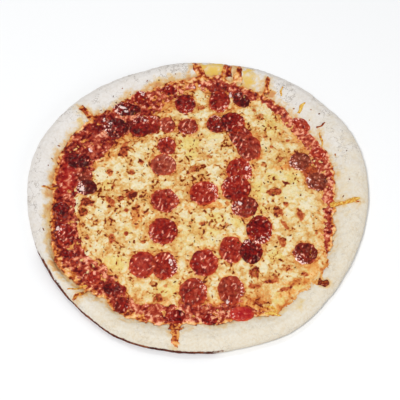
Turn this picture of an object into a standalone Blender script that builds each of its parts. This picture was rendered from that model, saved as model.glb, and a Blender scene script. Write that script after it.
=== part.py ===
"""A whole pepperoni pizza, 33 cm across and uncut.

It is built from the base up, as the real one is: a pale crust with a pillowy rim, a sauce layer
that runs under the cheese and out onto the rim, a layer of melted cheese with herb flakes baked
into it, and separate pepperoni slices that each lie on whatever is below them.

Lists of sizes and places are in millimetres and degrees. X runs to the right, Y to the back,
Z up, and angles turn anticlockwise from +X. The origin is under the middle of the crust.
"""

import math
import random

import bmesh
import bpy
from mathutils import Matrix, Vector, noise
from mathutils.bvhtree import BVHTree
from mathutils.geometry import delaunay_2d_cdt

MM = 0.001
OBJECT_NAME = "pepperoni_pizza"

# Crust: the radius of its outer edge every 10 degrees, then its heights.
CRUST_RADII = (
    166, 169, 171, 171, 168, 166, 164, 162, 159, 158, 159, 158,
    161, 164, 167, 169, 171, 169, 166, 164, 162, 160, 159, 159,
    160, 159, 157, 157, 157, 158, 161, 161, 160, 160, 161, 163,
)
CRUST_SECTORS = 120
BASE_THICKNESS = 5.5
RIM_HEIGHT = 13.5
RIM_UNEVENNESS = 1.6
RIM_BROAD_WAVES = 1.5
RIM_FINE_WAVES = 6.0
RIM_FINE_SHARE = 0.5
RIM_SLOPE_WIDTH = 12
SAUCE_EDGE_RISE = 2.5
# The rim's section: share of its width outwards from the sauce's edge, and share of its height.
RIM_SECTION = (
    (0.70, 0.0),
    (0.95, 0.10),
    (1.0, 0.38),
    (0.96, 0.62),
    (0.80, 0.87),
    (0.55, 1.0),
    (0.28, 0.88),
)

# Sauce: the radius of its outer edge every 10 degrees, and the runs that spill onto the rim.
SAUCE_RADII = (
    134, 136, 139, 135, 134, 134, 136, 136, 142, 140, 138, 134,
    136, 135, 140, 144, 145, 144, 142, 144, 148, 151, 145, 138,
    141, 137, 134, 131, 132, 131, 140, 134, 137, 138, 138, 134,
)
SAUCE_EDGE_POINTS = 120
SAUCE_RAGGEDNESS = 2.2
RAGGED_SIZE = 9
SAUCE_THICKNESS = 1.2
SAUCE_EDGE_THICKNESS = 0.7
# Each run: where it starts inside the sauce, where it ends on the rim, and its width at the start.
SAUCE_RUNS = (
    ((14, 132), (-5, 155), 6),
    ((24, 132), (29, 154), 8),
    ((38, 130), (41, 152), 6),
    ((66, 112), (72, 134), 6),
    ((-98, 84), (-119, 100), 8),
    ((-22, -124), (-21, -151), 9),
    ((-98, -92), (-114, -106), 5),
    ((126, -8), (158, -5), 5),
    ((98, -82), (120, -92), 5),
)
RUN_STATION = 3.5
RUN_END_SHARE = 0.45
RUN_TIP_LENGTH_SHARE = 0.2
RUN_WANDER = 0.8
RUN_WAVES = 5
FLAT_MARGIN = 2

# Cheese: how far its edge is inside the sauce's, every 10 degrees, then its heights.
CHEESE_INSETS = (
    17, 17, 17, 17, 17, 17, 17, 17, 18, 17, 17, 17,
    24, 33, 40, 40, 39, 28, 22, 28, 35, 33, 37, 38,
    36, 19, 23, 21, 20, 25, 17, 17, 17, 17, 18, 17,
)
CHEESE_EDGE_POINTS = 110
CHEESE_RAGGEDNESS = 2.0
CHEESE_TOP = 9.6
CHEESE_EDGE_THICKNESS = 0.9
CHEESE_UNEVENNESS = 0.7
CHEESE_BUMP_SIZE = 17
CHEESE_SMALL_BUMP_SIZE = 8
SMALL_BUMP_SHARE = 0.6
CHEESE_POINT_SPACING = 6.6
CHEESE_POINT_JITTER = 0.8
# Under each slice the cheese is pressed down. The fades are shares of an oval's half size.
SEAT_DEPTH = 0.8
SEAT_FADE = (0.95, 1.3)
# Blisters where the cheese has bubbled and browned: x, y, length, width.
BLISTERS = (
    (-107, -6, 14, 13),
    (-110, -15, 11, 10),
    (-88, 60, 14, 16),
    (-72, 49, 12, 20),
    (-60, -18, 10, 22),
    (-83, -46, 8, 10),
    (-88, -76, 10, 13),
    (-38, -106, 11, 10),
    (54, -80, 11, 11),
    (76, -17, 11, 13),
    (74, 4, 15, 9),
    (79, -50, 9, 13),
    (0, 30, 14, 8),
    (84, 42, 10, 11),
    (62, 91, 9, 9),
    (84, -90, 13, 8),
)
BLISTER_HEIGHT = 1.1
BLISTER_FADE = (0.2, 1.1)

# Herb flakes baked into the cheese.
FLAKE_COUNT = 42
FLAKE_SIZE = (3.0, 1.7, 1.2)
FLAKE_SIZE_RANGE = (0.8, 1.15)
FLAKE_CLEARANCE = 5.0
FLAKE_RISE = 0.1
FLAKE_SPACING = 22.0
SPACING_SHRINK = 0.998

# Pepperoni slices, lowest first: x, y, size across, size front to back, and the turn of that oval.
SLICE_PLACES = (
    (-52, -71, 26, 27, 0),
    (-31, -72, 24, 28, 0),
    (-34, 36, 26, 24, 0),
    (-32, -3, 27, 26, 0),
    (6, 5, 28, 26, 0),
    (-33, -36, 28, 28, 0),
    (6, -69, 26, 28, 0),
    (32, -55, 23, 28, 0),
    (51, -57, 21, 26, 0),
    (59, -34, 24, 30, 0),
    (45, -10, 26, 23, 0),
    (41, 30, 25, 28, 0),
    (37, 10, 28, 27, 0),
    (43, 68, 23, 27, 25),
    (51, 55, 23, 28, 15),
    (18, 83, 18, 20, 0),
    (35, 85, 24, 23, 0),
    (22, 110, 21, 26, 0),
    (44, 112, 16, 20, 35),
    (-13, 107, 21, 23, 0),
    (-10, 80, 20, 19, 0),
    (-31, 82, 17, 18, 0),
    (-31, 58, 19, 20, 0),
    (-47, 82, 19, 22, 0),
    (-58, 80, 21, 24, 0),
    (-82, 80, 24, 23, 0),
    (-72, 101, 28, 14, 0),
    (-58, 115, 14, 14, 0),
    (-28, 124, 13, 11, 0),
    (-110, 24, 14, 14, 0),
    (-118, 42, 24, 15, 0),
    (-108, 11, 20, 16, 0),
    (-126, -39, 18, 24, 0),
    (-132, -11, 16, 14, 0),
    (-122, -60, 15, 10, 0),
    (-97, -83, 13, 14, 0),
    (-79, -95, 18, 11, -10),
    (-70, -111, 13, 17, 0),
    (-20, -122, 18, 14, 0),
    (-4, -98, 26, 28, 0),
    (40, -120, 23, 14, 0),
    (31, -96, 25, 28, 0),
    (11, -125, 16, 11, 0),
    (102, -59, 24, 22, 0),
    (117, 18, 23, 20, 0),
    (101, 40, 21, 21, 0),
    (119, 50, 16, 11, -35),
    (104, 83, 20, 9, -38),
)
SLICE_SIDES = 12
SLICE_INNER_RING = 0.45
SLICE_THICKNESS = 1.7
SLICE_CUPPING = 0.5

# Touching pieces keep this gap. The sauce looks this far round each of its points for the crust,
# and a slice is lifted clear of what lies below it at points spread over each of its triangles.
GAP = 0.35
LYING_REACH = 1.6
DRAPE_STEPS = 8
DRAPE_PASSES = 8
STIFFNESS_PASSES = 2
SKY = 60.0
MERGE_DISTANCE = 0.01
SHARP_ANGLE = 60
SEED = 7

COLOURS = {
    "crust": ((0.80, 0.75, 0.68), 0.8),
    "sauce": ((0.36, 0.05, 0.02), 0.35),
    "cheese": ((0.85, 0.66, 0.30), 0.4),
    "pepperoni": ((0.42, 0.03, 0.02), 0.35),
}


def smooth_around(values, angle):
    """The value at an angle on a smooth closed curve through evenly spaced values."""
    count = len(values)
    place = angle / 360 * count
    index = math.floor(place)
    part = place - index
    before, here, after, beyond = (values[(index + step) % count] for step in (-1, 0, 1, 2))
    curve = 2 * before - 5 * here + 4 * after - beyond
    twist = 3 * (here - after) + beyond - before
    return here + 0.5 * part * (after - before + part * (curve + part * twist))


def smooth_step(low, high, value):
    share = min(max((value - low) / (high - low), 0.0), 1.0)
    return share * share * (3 - 2 * share)


def at_angle(radius, angle):
    turn = math.radians(angle)
    return Vector((radius * math.cos(turn), radius * math.sin(turn)))


def unevenness(x, y, size, variant):
    """Smooth noise from -1 to 1 that changes over about size millimetres."""
    return noise.noise(Vector((x / size, y / size, variant)))


def sauce_radius(angle):
    return smooth_around(SAUCE_RADII, angle)


def cheese_radius(angle):
    return sauce_radius(angle) - smooth_around(CHEESE_INSETS, angle)


def edge_loop(radius_at, count, raggedness, variant):
    """Points round a ragged edge."""
    points = []
    for number in range(count):
        angle = 360 * number / count
        point = at_angle(radius_at(angle), angle)
        ragged = raggedness * unevenness(point.x, point.y, RAGGED_SIZE, variant)
        points.append(at_angle(radius_at(angle) + ragged, angle))
    return points


def in_loop(point, loop):
    """Whether a point is inside a closed loop."""
    inside = False
    for here, after in zip(loop, loop[1:] + loop[:1]):
        if (here.y > point.y) != (after.y > point.y):
            crossing = here.x + (after.x - here.x) * (point.y - here.y) / (after.y - here.y)
            if point.x < crossing:
                inside = not inside
    return inside


class Oval:
    """The oval that a slice or a blister covers in plan."""

    def __init__(self, x, y, across, deep, turn=0):
        self.centre = Vector((x, y))
        self.half = Vector((across / 2, deep / 2))
        self.turn = Matrix.Rotation(math.radians(turn), 2)

    def point(self, u, v):
        """The place of a point of the unit circle."""
        return self.centre + self.turn @ Vector((u * self.half.x, v * self.half.y))

    def share(self, x, y):
        """0 in the middle, 1 on the edge, more outside."""
        local = self.turn.transposed() @ (Vector((x, y)) - self.centre)
        return math.hypot(local.x / self.half.x, local.y / self.half.y)

    def near(self, other):
        """Whether the two ovals could overlap."""
        return (self.centre - other.centre).length < max(self.half) + max(other.half)


SLICES = [Oval(*place) for place in SLICE_PLACES]
BLISTER_OVALS = [Oval(*place) for place in BLISTERS]


def tree_of(bm):
    bm.faces.ensure_lookup_table()
    return BVHTree.FromBMesh(bm)


def round_place(place):
    """A key that a corner of a slice's underside shares with the corner above it."""
    return round(place.x, 4), round(place.y, 4)


def support_height(trees, x, y, reach):
    """The height of the highest surface at a point, or within reach of it."""
    places = [(0.0, 0.0)]
    for share in (0.5, 1.0) if reach else ():
        for number in range(8):
            offset = at_angle(reach * share, 45 * number)
            places.append((offset.x, offset.y))
    highest = 0.0
    for dx, dy in places:
        start = Vector((x + dx, y + dy, SKY))
        for tree in trees:
            hit = tree.ray_cast(start, Vector((0, 0, -1)))[0]
            if hit is not None:
                highest = max(highest, hit.z)
    return highest


def triangles_within(loops, inner_points):
    """A triangulation of the area inside any of the loops: its points and its faces."""
    points = []
    faces = []
    for loop in loops:
        faces.append(list(range(len(points), len(points) + len(loop))))
        points.extend(loop)
    points.extend(inner_points)
    inside_only = 1
    found = delaunay_2d_cdt(points, [], faces, inside_only, MERGE_DISTANCE)
    return found[0], found[2]


def outer_edges(faces):
    """The edges that only one face uses, each as its two corners."""
    used = {pair for face in faces for pair in zip(face, face[1:] + face[:1])}
    return sorted((start, end) for start, end in used if (end, start) not in used)


def layer(points, faces, bottoms, thicknesses):
    """A closed layer over a triangulated area: its two faces are triangulated alike."""
    bm = bmesh.new()
    lower = [bm.verts.new((p.x, p.y, low)) for p, low in zip(points, bottoms)]
    upper = [
        bm.verts.new((p.x, p.y, low + thick)) for p, low, thick in zip(points, bottoms, thicknesses)
    ]
    for face in faces:
        bm.faces.new([upper[index] for index in face])
        bm.faces.new([lower[index] for index in reversed(face)])
    for start, end in outer_edges(faces):
        bm.faces.new((lower[start], lower[end], upper[end], upper[start]))
    loose = [vert for vert in bm.verts if not vert.link_faces]
    bmesh.ops.delete(bm, geom=loose, context="VERTS")
    bmesh.ops.triangulate(bm, faces=bm.faces)
    return bm


def rim_height(angle):
    around = at_angle(1, angle)
    broad = noise.noise(Vector((*around * RIM_BROAD_WAVES, 1)))
    fine = noise.noise(Vector((*around * RIM_FINE_WAVES, 5)))
    return RIM_HEIGHT + RIM_UNEVENNESS * (broad + RIM_FINE_SHARE * fine)


def crust_section(angle):
    """The crust's section at an angle, from the edge of its underside over the rim to the base."""
    outer = smooth_around(CRUST_RADII, angle)
    inner = sauce_radius(angle)
    height = rim_height(angle)
    section = [(inner + out * (outer - inner), up * height) for out, up in RIM_SECTION]
    section.append((inner, BASE_THICKNESS + SAUCE_EDGE_RISE))
    section.append((inner - RIM_SLOPE_WIDTH, BASE_THICKNESS))
    return section


def build_crust():
    """A loft round the crust of sections that differ at each angle, closed by two flat faces."""
    bm = bmesh.new()
    sectors = []
    for number in range(CRUST_SECTORS):
        angle = 360 * number / CRUST_SECTORS
        corners = [(at_angle(radius, angle), height) for radius, height in crust_section(angle)]
        sectors.append([bm.verts.new((place.x, place.y, height)) for place, height in corners])
    for here, after in zip(sectors, sectors[1:] + sectors[:1]):
        for step in range(len(here) - 1):
            bm.faces.new((here[step], after[step], after[step + 1], here[step + 1]))
    bm.faces.new([sector[0] for sector in reversed(sectors)])
    bm.faces.new([sector[-1] for sector in sectors])
    bmesh.ops.triangulate(bm, faces=bm.faces)
    return bm


def run_outline(start, end, width):
    """The outline and the middle line of one tapering run of sauce."""
    start = Vector(start)
    along = Vector(end) - start
    side = Vector((-along.y, along.x)).normalized()
    stations = max(2, round(along.length / RUN_STATION))
    left = []
    right = []
    middle = []
    for number in range(stations + 1):
        share = number / stations
        half = width / 2 * (1 - (1 - RUN_END_SHARE) * share)
        wander = RUN_WANDER * math.sin(RUN_WAVES * share + width)
        centre = start + along * share + side * wander
        left.append(centre + side * half)
        right.append(centre - side * half)
        if 0 < number < stations:
            middle.append(centre)
    tip = [Vector(end) + along.normalized() * width * RUN_TIP_LENGTH_SHARE]
    return right + tip + left[::-1], middle


def build_sauce(crust):
    """The sauce lies on the crust, flat under the cheese and up onto the rim round its edge."""
    edge = edge_loop(sauce_radius, SAUCE_EDGE_POINTS, SAUCE_RAGGEDNESS, 2)
    slope_start = RIM_SLOPE_WIDTH + FLAT_MARGIN
    inner = []
    for number in range(SAUCE_EDGE_POINTS // 2):
        angle = 720 * number / SAUCE_EDGE_POINTS
        inner.append(at_angle(sauce_radius(angle) - slope_start, angle))
    loops = [edge]
    for start, end, width in SAUCE_RUNS:
        outline, middle = run_outline(start, end, width)
        loops.append(outline)
        inner.extend(middle)
    points, faces = triangles_within(loops, inner)
    tree = tree_of(crust)
    bottoms = [support_height([tree], point.x, point.y, LYING_REACH) + GAP for point in points]
    thicknesses = [SAUCE_THICKNESS] * len(points)
    for start, _ in outer_edges(faces):
        thicknesses[start] = SAUCE_EDGE_THICKNESS
    return layer(points, faces, bottoms, thicknesses)


def cheese_height(x, y):
    """The top of the cheese: uneven, raised in blisters, and pressed flat under the slices."""
    seat = max(1 - smooth_step(*SEAT_FADE, oval.share(x, y)) for oval in SLICES)
    blister = max(1 - smooth_step(*BLISTER_FADE, oval.share(x, y)) for oval in BLISTER_OVALS)
    rough = unevenness(x, y, CHEESE_BUMP_SIZE, 3)
    rough += SMALL_BUMP_SHARE * unevenness(x, y, CHEESE_SMALL_BUMP_SIZE, 4)
    free = CHEESE_UNEVENNESS * rough + BLISTER_HEIGHT * blister
    return CHEESE_TOP + (1 - seat) * free - seat * SEAT_DEPTH


def cheese_points(edge, draw):
    """Points over the cheese in staggered rows, with one on each blister."""
    points = [oval.centre.copy() for oval in BLISTER_OVALS]
    points = [point for point in points if in_loop(point, edge)]
    shrunk = [point * (1 - CHEESE_POINT_SPACING * 0.5 / point.length) for point in edge]
    reach = max(SAUCE_RADII)
    row_step = CHEESE_POINT_SPACING * math.sin(math.radians(60))
    rows = math.ceil(reach / row_step)
    columns = math.ceil(reach / CHEESE_POINT_SPACING)
    for row in range(-rows, rows + 1):
        shift = CHEESE_POINT_SPACING / 2 * (row % 2)
        for column in range(-columns, columns + 1):
            jitter = CHEESE_POINT_JITTER * Vector((draw.uniform(-1, 1), draw.uniform(-1, 1)))
            point = Vector((column * CHEESE_POINT_SPACING + shift, row * row_step)) + jitter
            near = min((point - other.centre).length for other in BLISTER_OVALS)
            if near > CHEESE_POINT_SPACING * 0.5 and in_loop(point, shrunk):
                points.append(point)
    return points


def build_cheese(draw):
    """The cheese lies flat on the sauce, and its free edge is thin."""
    low = BASE_THICKNESS + GAP + SAUCE_THICKNESS + GAP
    edge = edge_loop(cheese_radius, CHEESE_EDGE_POINTS, CHEESE_RAGGEDNESS, 6)
    points, faces = triangles_within([edge], cheese_points(edge, draw))
    bm = bmesh.new()
    upper = []
    for number, point in enumerate(points):
        on_edge = number < len(edge)
        height = low + CHEESE_EDGE_THICKNESS if on_edge else cheese_height(point.x, point.y)
        upper.append(bm.verts.new((point.x, point.y, height)))
    lower = [bm.verts.new((point.x, point.y, low)) for point in edge]
    for face in faces:
        bm.faces.new([upper[index] for index in face])
    count = len(edge)
    for here in range(count):
        after = (here + 1) % count
        bm.faces.new((lower[here], lower[after], upper[after], upper[here]))
    bm.faces.new(lower[::-1])
    bmesh.ops.triangulate(bm, faces=bm.faces)
    return bm


def flake_places(draw):
    """Evenly scattered places on the cheese, clear of the slices and of each other."""
    edge = edge_loop(cheese_radius, CHEESE_EDGE_POINTS, CHEESE_RAGGEDNESS, 6)
    inside = [point * (1 - FLAKE_CLEARANCE / point.length) for point in edge]
    places = []
    spacing = FLAKE_SPACING
    while len(places) < FLAKE_COUNT:
        point = at_angle(max(SAUCE_RADII) * math.sqrt(draw.random()), draw.uniform(0, 360))
        spacing *= SPACING_SHRINK
        clear = all(
            oval.share(point.x, point.y) > 1 + FLAKE_CLEARANCE / min(oval.half) for oval in SLICES
        )
        apart = all((point - other).length > spacing for other in places)
        if clear and apart and in_loop(point, inside):
            places.append(point)
    return places


def add_flakes(draw, cheese, collection):
    """Half-sunk herb flakes, each a squashed ball, in a collection of their own."""
    tree = tree_of(cheese)
    for number, place in enumerate(flake_places(draw)):
        bm = bmesh.new()
        bmesh.ops.create_icosphere(bm, subdivisions=1, radius=0.5)
        size = Vector(FLAKE_SIZE) * draw.uniform(*FLAKE_SIZE_RANGE)
        turn = Matrix.Rotation(math.radians(draw.uniform(0, 360)), 4, "Z")
        low = tree.ray_cast(Vector((place.x, place.y, SKY)), Vector((0, 0, -1)))[0].z
        at = Matrix.Translation((place.x, place.y, low + FLAKE_RISE))
        bmesh.ops.transform(bm, matrix=at @ turn @ Matrix.Diagonal((*size, 1)), verts=bm.verts)
        add_object(f"flake_{number:02}", bm, collection)


def shares_over_triangle(steps):
    """Barycentric shares evenly spread over a triangle, its corners included."""
    return [
        (first / steps, second / steps, (steps - first - second) / steps)
        for first in range(steps + 1)
        for second in range(steps + 1 - first)
    ]


def drape(corners, triangles, trees):
    """The lowest heights of the corners that keep every triangle a gap above what lies below."""
    shares = shares_over_triangle(DRAPE_STEPS)
    tests = []
    for triangle in triangles:
        floors = []
        for share in shares:
            place = sum((corners[c] * part for c, part in zip(triangle, share)), Vector((0, 0)))
            floors.append(support_height(trees, place.x, place.y, 0) + GAP)
        tests.extend((triangle, share, floor, max(floors)) for share, floor in zip(shares, floors))
    heights = [support_height(trees, corner.x, corner.y, 0) + GAP for corner in corners]
    neighbours = {corner: set() for triangle in triangles for corner in triangle}
    for triangle in triangles:
        for corner in triangle:
            neighbours[corner].update(triangle)
    for _ in range(DRAPE_PASSES):
        for triangle, share, floor, enough in tests:
            short = floor - sum(heights[c] * part for c, part in zip(triangle, share))
            if short > 0:
                for corner, part in zip(triangle, share):
                    raised = heights[corner] + (short if part > 0 else 0)
                    heights[corner] = max(heights[corner], min(raised, enough))
    for _ in range(STIFFNESS_PASSES):
        for corner, near in neighbours.items():
            heights[corner] = max(heights[corner], sum(heights[c] for c in near) / len(near))
    return heights


def build_slice(oval, trees):
    """A round slice draped over what lies below it, with its edge curled up a little."""
    bm = bmesh.new()
    bmesh.ops.create_cone(
        bm, cap_ends=True, segments=SLICE_SIDES, radius1=1, radius2=1, depth=1
    )
    caps = [face for face in bm.faces if len(face.verts) == SLICE_SIDES]
    bmesh.ops.inset_individual(bm, faces=caps, thickness=1 - SLICE_INNER_RING)
    bmesh.ops.poke(bm, faces=caps)
    bmesh.ops.triangulate(bm, faces=bm.faces)
    bm.verts.index_update()
    corners = [oval.point(vert.co.x, vert.co.y) for vert in bm.verts]
    triangles = [
        [vert.index for vert in face.verts]
        for face in bm.faces
        if all(vert.co.z < 0 for vert in face.verts)
    ]
    heights = drape(corners, triangles, trees)
    lower = {round_place(vert.co): heights[vert.index] for vert in bm.verts if vert.co.z < 0}
    for vert, place in zip(bm.verts, corners):
        out = math.hypot(vert.co.x, vert.co.y)
        lift = SLICE_CUPPING * out * out + (SLICE_THICKNESS if vert.co.z > 0 else 0)
        vert.co = (place.x, place.y, lower[round_place(vert.co)] + lift)
    return bm


def material(name):
    colour, roughness = COLOURS[name]
    made = bpy.data.materials.new(name)
    made.use_nodes = True
    shader = made.node_tree.nodes["Principled BSDF"]
    shader.inputs["Base Color"].default_value = (*colour, 1)
    shader.inputs["Roughness"].default_value = roughness
    shader.inputs["Metallic"].default_value = 0
    made.diffuse_color = (*colour, 1)
    return made


def add_object(name, bm, collection, finish=None):
    """A mesh object in metres from a bmesh in millimetres."""
    mesh = bpy.data.meshes.new(name)
    bm.to_mesh(mesh)
    mesh.transform(Matrix.Scale(MM, 4))
    mesh.shade_smooth()
    mesh.set_sharp_from_angle(angle=math.radians(SHARP_ANGLE))
    if finish is not None:
        mesh.materials.append(finish)
    made = bpy.data.objects.new(name, mesh)
    collection.objects.link(made)
    return made


def join_flakes(cheese, flakes):
    """Fuses the flakes to the cheese with one union, and removes their own objects."""
    union = cheese.modifiers.new("flakes", "BOOLEAN")
    union.operation = "UNION"
    union.operand_type = "COLLECTION"
    union.collection = flakes
    union.solver = "EXACT"
    bpy.context.view_layer.update()
    graph = bpy.context.evaluated_depsgraph_get()
    fused = bpy.data.meshes.new_from_object(cheese.evaluated_get(graph))
    cheese.modifiers.remove(union)
    unfused = cheese.data
    cheese.data = fused
    bpy.data.meshes.remove(unfused)
    for flake in list(flakes.objects):
        bpy.data.objects.remove(flake)
    bpy.data.collections.remove(flakes)


def centre_on_origin(crust, objects):
    """Moves everything so that the middle of the crust's box is over the origin."""
    corners = [Vector(corner) for corner in crust.bound_box]
    middle = sum(corners, Vector()) / len(corners)
    shift = Matrix.Translation((-middle.x, -middle.y, 0))
    for made in objects:
        made.data.transform(shift)


def clear_scene():
    for old in list(bpy.data.objects):
        bpy.data.objects.remove(old)


def new_collection(name):
    collection = bpy.data.collections.new(name)
    bpy.context.scene.collection.children.link(collection)
    return collection


def main():
    clear_scene()
    draw = random.Random(SEED)
    pizza = new_collection(OBJECT_NAME)
    flakes = new_collection("flakes_to_fuse")
    finish = {name: material(name) for name in COLOURS}

    crust = build_crust()
    sauce = build_sauce(crust)
    cheese = build_cheese(draw)
    trees = [tree_of(crust), tree_of(sauce), tree_of(cheese)]
    crust_object = add_object("crust", crust, pizza, finish["crust"])
    add_object("sauce", sauce, pizza, finish["sauce"])
    cheese_object = add_object("cheese", cheese, pizza, finish["cheese"])
    add_flakes(draw, cheese, flakes)
    join_flakes(cheese_object, flakes)

    laid = []
    for number, oval in enumerate(SLICES, 1):
        below = [tree for other, tree in laid if oval.near(other)]
        pepperoni = build_slice(oval, trees + below)
        laid.append((oval, tree_of(pepperoni)))
        add_object(f"pepperoni_{number:02}", pepperoni, pizza, finish["pepperoni"])

    centre_on_origin(crust_object, pizza.objects)


main()
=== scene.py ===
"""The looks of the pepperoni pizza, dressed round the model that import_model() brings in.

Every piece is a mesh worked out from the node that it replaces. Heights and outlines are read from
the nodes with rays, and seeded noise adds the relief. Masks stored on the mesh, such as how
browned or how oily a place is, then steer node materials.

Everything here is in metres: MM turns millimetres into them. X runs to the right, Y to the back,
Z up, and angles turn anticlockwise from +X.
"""

import itertools
import math
from types import SimpleNamespace

import bpy
import numpy as np
from mathutils import Matrix, Vector
from mathutils.bvhtree import BVHTree
from mathutils.kdtree import KDTree

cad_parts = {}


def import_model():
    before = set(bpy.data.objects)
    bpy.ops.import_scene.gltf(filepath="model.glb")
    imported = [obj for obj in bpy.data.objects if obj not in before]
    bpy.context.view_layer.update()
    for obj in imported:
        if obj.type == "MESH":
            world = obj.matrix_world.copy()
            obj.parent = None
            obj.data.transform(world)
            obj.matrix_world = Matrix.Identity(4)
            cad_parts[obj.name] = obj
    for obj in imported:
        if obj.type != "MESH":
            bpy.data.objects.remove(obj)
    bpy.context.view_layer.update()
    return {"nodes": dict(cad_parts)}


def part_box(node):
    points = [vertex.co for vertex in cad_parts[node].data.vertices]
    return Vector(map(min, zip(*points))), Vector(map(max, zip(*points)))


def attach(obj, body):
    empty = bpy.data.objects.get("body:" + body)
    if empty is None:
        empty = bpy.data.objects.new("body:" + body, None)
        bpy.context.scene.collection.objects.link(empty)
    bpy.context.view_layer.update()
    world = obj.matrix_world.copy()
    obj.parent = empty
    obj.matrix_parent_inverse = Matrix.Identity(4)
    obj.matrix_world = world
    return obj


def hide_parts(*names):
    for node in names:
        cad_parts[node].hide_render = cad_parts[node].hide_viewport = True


MM = 0.001
SEED = 11
SKY = 0.1

# The camera looks down on the pizza from the front.
CAMERA_ELEVATION = 63
CAMERA_DISTANCE = 1.050
CAMERA_AIM = (0.00215, -0.0024, 0.008)
CAMERA_LENS = 97.4

# Stage: each light's name, place, size and power, and the room's colour and strength.
LIGHTS = (
    ("main", (-0.5, -0.6, 1.7), 0.35, 17),
    ("back", (-0.35, 0.75, 1.75), 0.16, 5),
    ("right", (1.3, -0.7, 0.7), 0.9, 5),
)
ROOM_COLOUR = (0.96, 0.98, 1.0, 1)
ROOM_STRENGTH = 0.5
FLOOR_HALF = 4.0
FLOOR_COLOUR = (0.9, 0.9, 0.9, 1)

# Noise
LATTICE = 48
NOISE_GAIN = 1.6
NOISE_START = 17.3
VARIANT_SHIFT = np.array((0.0, 5.1, 9.7))
FINER_SHIFT = 0.37

# Crust: a fan of rays inside the rim finds its section, from the underside over the top.
CRUST_SECTORS = 900
CRUST_STATIONS = 62
FAN_RAYS = 170
FAN_HEIGHT = 3.5 * MM
FAN_INSET = 11 * MM
FAN_START = -90
FAN_END = 176.5
CRUST_SMOOTHING = 8
# Each layer of the crust's relief: size across and depth.
CRUST_RELIEF = (
    (24 * MM, 0.6 * MM),
    (11 * MM, 0.35 * MM),
    (5 * MM, 0.28 * MM),
    (2.4 * MM, 0.2 * MM),
)
WRINKLE_SIZE = 9 * MM
WRINKLE_DEPTH = 0.35 * MM
# The shares of the section between which the relief starts and ends.
RELIEF_START = (0.02, 0.12)
RELIEF_END = (0.70, 0.90)
UNDERSIDE_SHARES = (0.97, 0.90, 0.60, 0.30)
# The lower edge is burnt at the front left, round this angle. The dark there is partly a painted
# contact shadow under the rim.
BURNT_AND_SHADED_MIDDLE = -122
# The way to the front right, where the dough is warmer in colour.
WARM_WAY = np.array((0.5, -0.87, 0))
STAIN_REACH = 11 * MM

# Every patch below is a row of x, y and its two sizes in millimetres, its strength and, where it
# is turned, its angle in degrees. Amounts given every so many degrees start at +X.

# How strongly the crust beside the sauce is stained, every 30 degrees.
CRUST_STAIN = (0.6, 0.6, 0.7, 1, 0.75, 0.7, 1, 0.8, 0.6, 0.5, 0.6, 0.5)
# Spots of melted cheese and oil on the crust.
STAINS = (
    (116, -91, 17, 12, 0.75, -15), (-146, 10, 14, 3, 0.9), (-124, 70, 12, 14, 0.45),
    (-132, -74, 16, 12, 0.9, -45), (122, 70, 10, 20, 0.5), (68, 118, 26, 9, 1, -5),
    (-42, 128, 18, 10, 0.9), (-15, 138, 26, 9, 0.5), (70, -119, 14, 8, 0.8, -30),
    (140, -6, 24, 8, 0.6, 5), (-8, -136, 14, 8, 0.5, 40), (-128, -85, 14, 8, 0.5, -40),
)
OIL_PATCHES = (
    (16, 149, 26, 20, 1), (52, 136, 24, 26, 0.8), (70, 122, 26, 18, 0.4),
    (-138, 20, 14, 60, 0.35), (-142, -30, 16, 60, 0.45), (-115, 95, 22, 22, 0.35),
    (-118, 84, 9, 13, 0.75), (-123, 75, 9, 9, 0.5), (-30, 135, 40, 14, 0.45),
    (-120, -85, 30, 26, 0.4), (85, -112, 40, 22, 0.5), (142, 10, 14, 90, 0.4),
    (112, 96, 24, 24, 0.35),
)

# Sauce
SAUCE_STEP = 1.0 * MM
SAUCE_INSET = 0.7 * MM
SAUCE_RAGGEDNESS = 1.6 * MM
SAUCE_THICKNESS = 1.2 * MM
SAUCE_EDGE_THICKNESS = 0.12 * MM
SAUCE_EDGE_WIDTH = 6 * MM
SAUCE_RELIEF = ((7 * MM, 0.9 * MM), (3.4 * MM, 0.8 * MM))
# How wide the orange, oily edge of the sauce is in millimetres, every 30 degrees.
OILY_EDGE = (3, 0.3, 2.5, 5, 2.5, 3, 4, 7, 3.5, 2.5, 6, 4)
# How much melted cheese is mixed into the ring of sauce, every 30 degrees.
RING_CHEESE = (1.1, 1, 0.65, 0.9, 0.85, 0.45, 0.3, 0.5, 0.65, 0.9, 1, 1)
# Runs of sauce spread on to the crust where it is higher than this. Each is given by its x, y,
# two sizes and angle.
RUN_LOWEST = 9 * MM
RUNS = (
    (2, 144, 9, 30, 24), (30, 143, 9, 30, -8), (43, 138, 5, 28, -3), (71, 127, 5, 24, -6),
    (-20.5, -139, 8, 34, 3), (-19, -130, 20, 14, 8), (-112, 94, 6, 23, 42),
    (-112, -103, 4, 14, -42),
)
DARK_SAUCE = (
    (-133, -28, 11, 64, 1), (-118, 42, 26, 20, 1, -8), (-124, 57, 18, 12, 0.8, 20),
    (-100, 84, 34, 14, 0.9, 38), (-78, 104, 22, 12, 1, 10), (-115, 97, 4, 13, 1, -38),
    (-126, -60, 14, 8, 0.8), (-30, 126, 14, 8, 0.9), (20, 125, 22, 14, 0.9),
    (30, 147, 10, 22, 0.6), (43, 146, 8, 16, 0.8), (-21, -141, 13, 30, 0.55),
    (71, 132, 7, 16, 0.4), (-3, 153, 5, 14, 0.6, 30), (-17, -122, 14, 8, 0.9),
    (-70, -110, 11, 14, 0.9), (-78, -95, 26, 11, 1, -22), (126, -30, 5, 30, 0.5, -4),
    (118, 38, 12, 18, 0.7, 35), (-52, 98, 24, 9, 0.5, 10), (90, 101, 5, 18, 0.6, 35),
    (-88, 62, 12, 12, 0.6),
)
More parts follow.
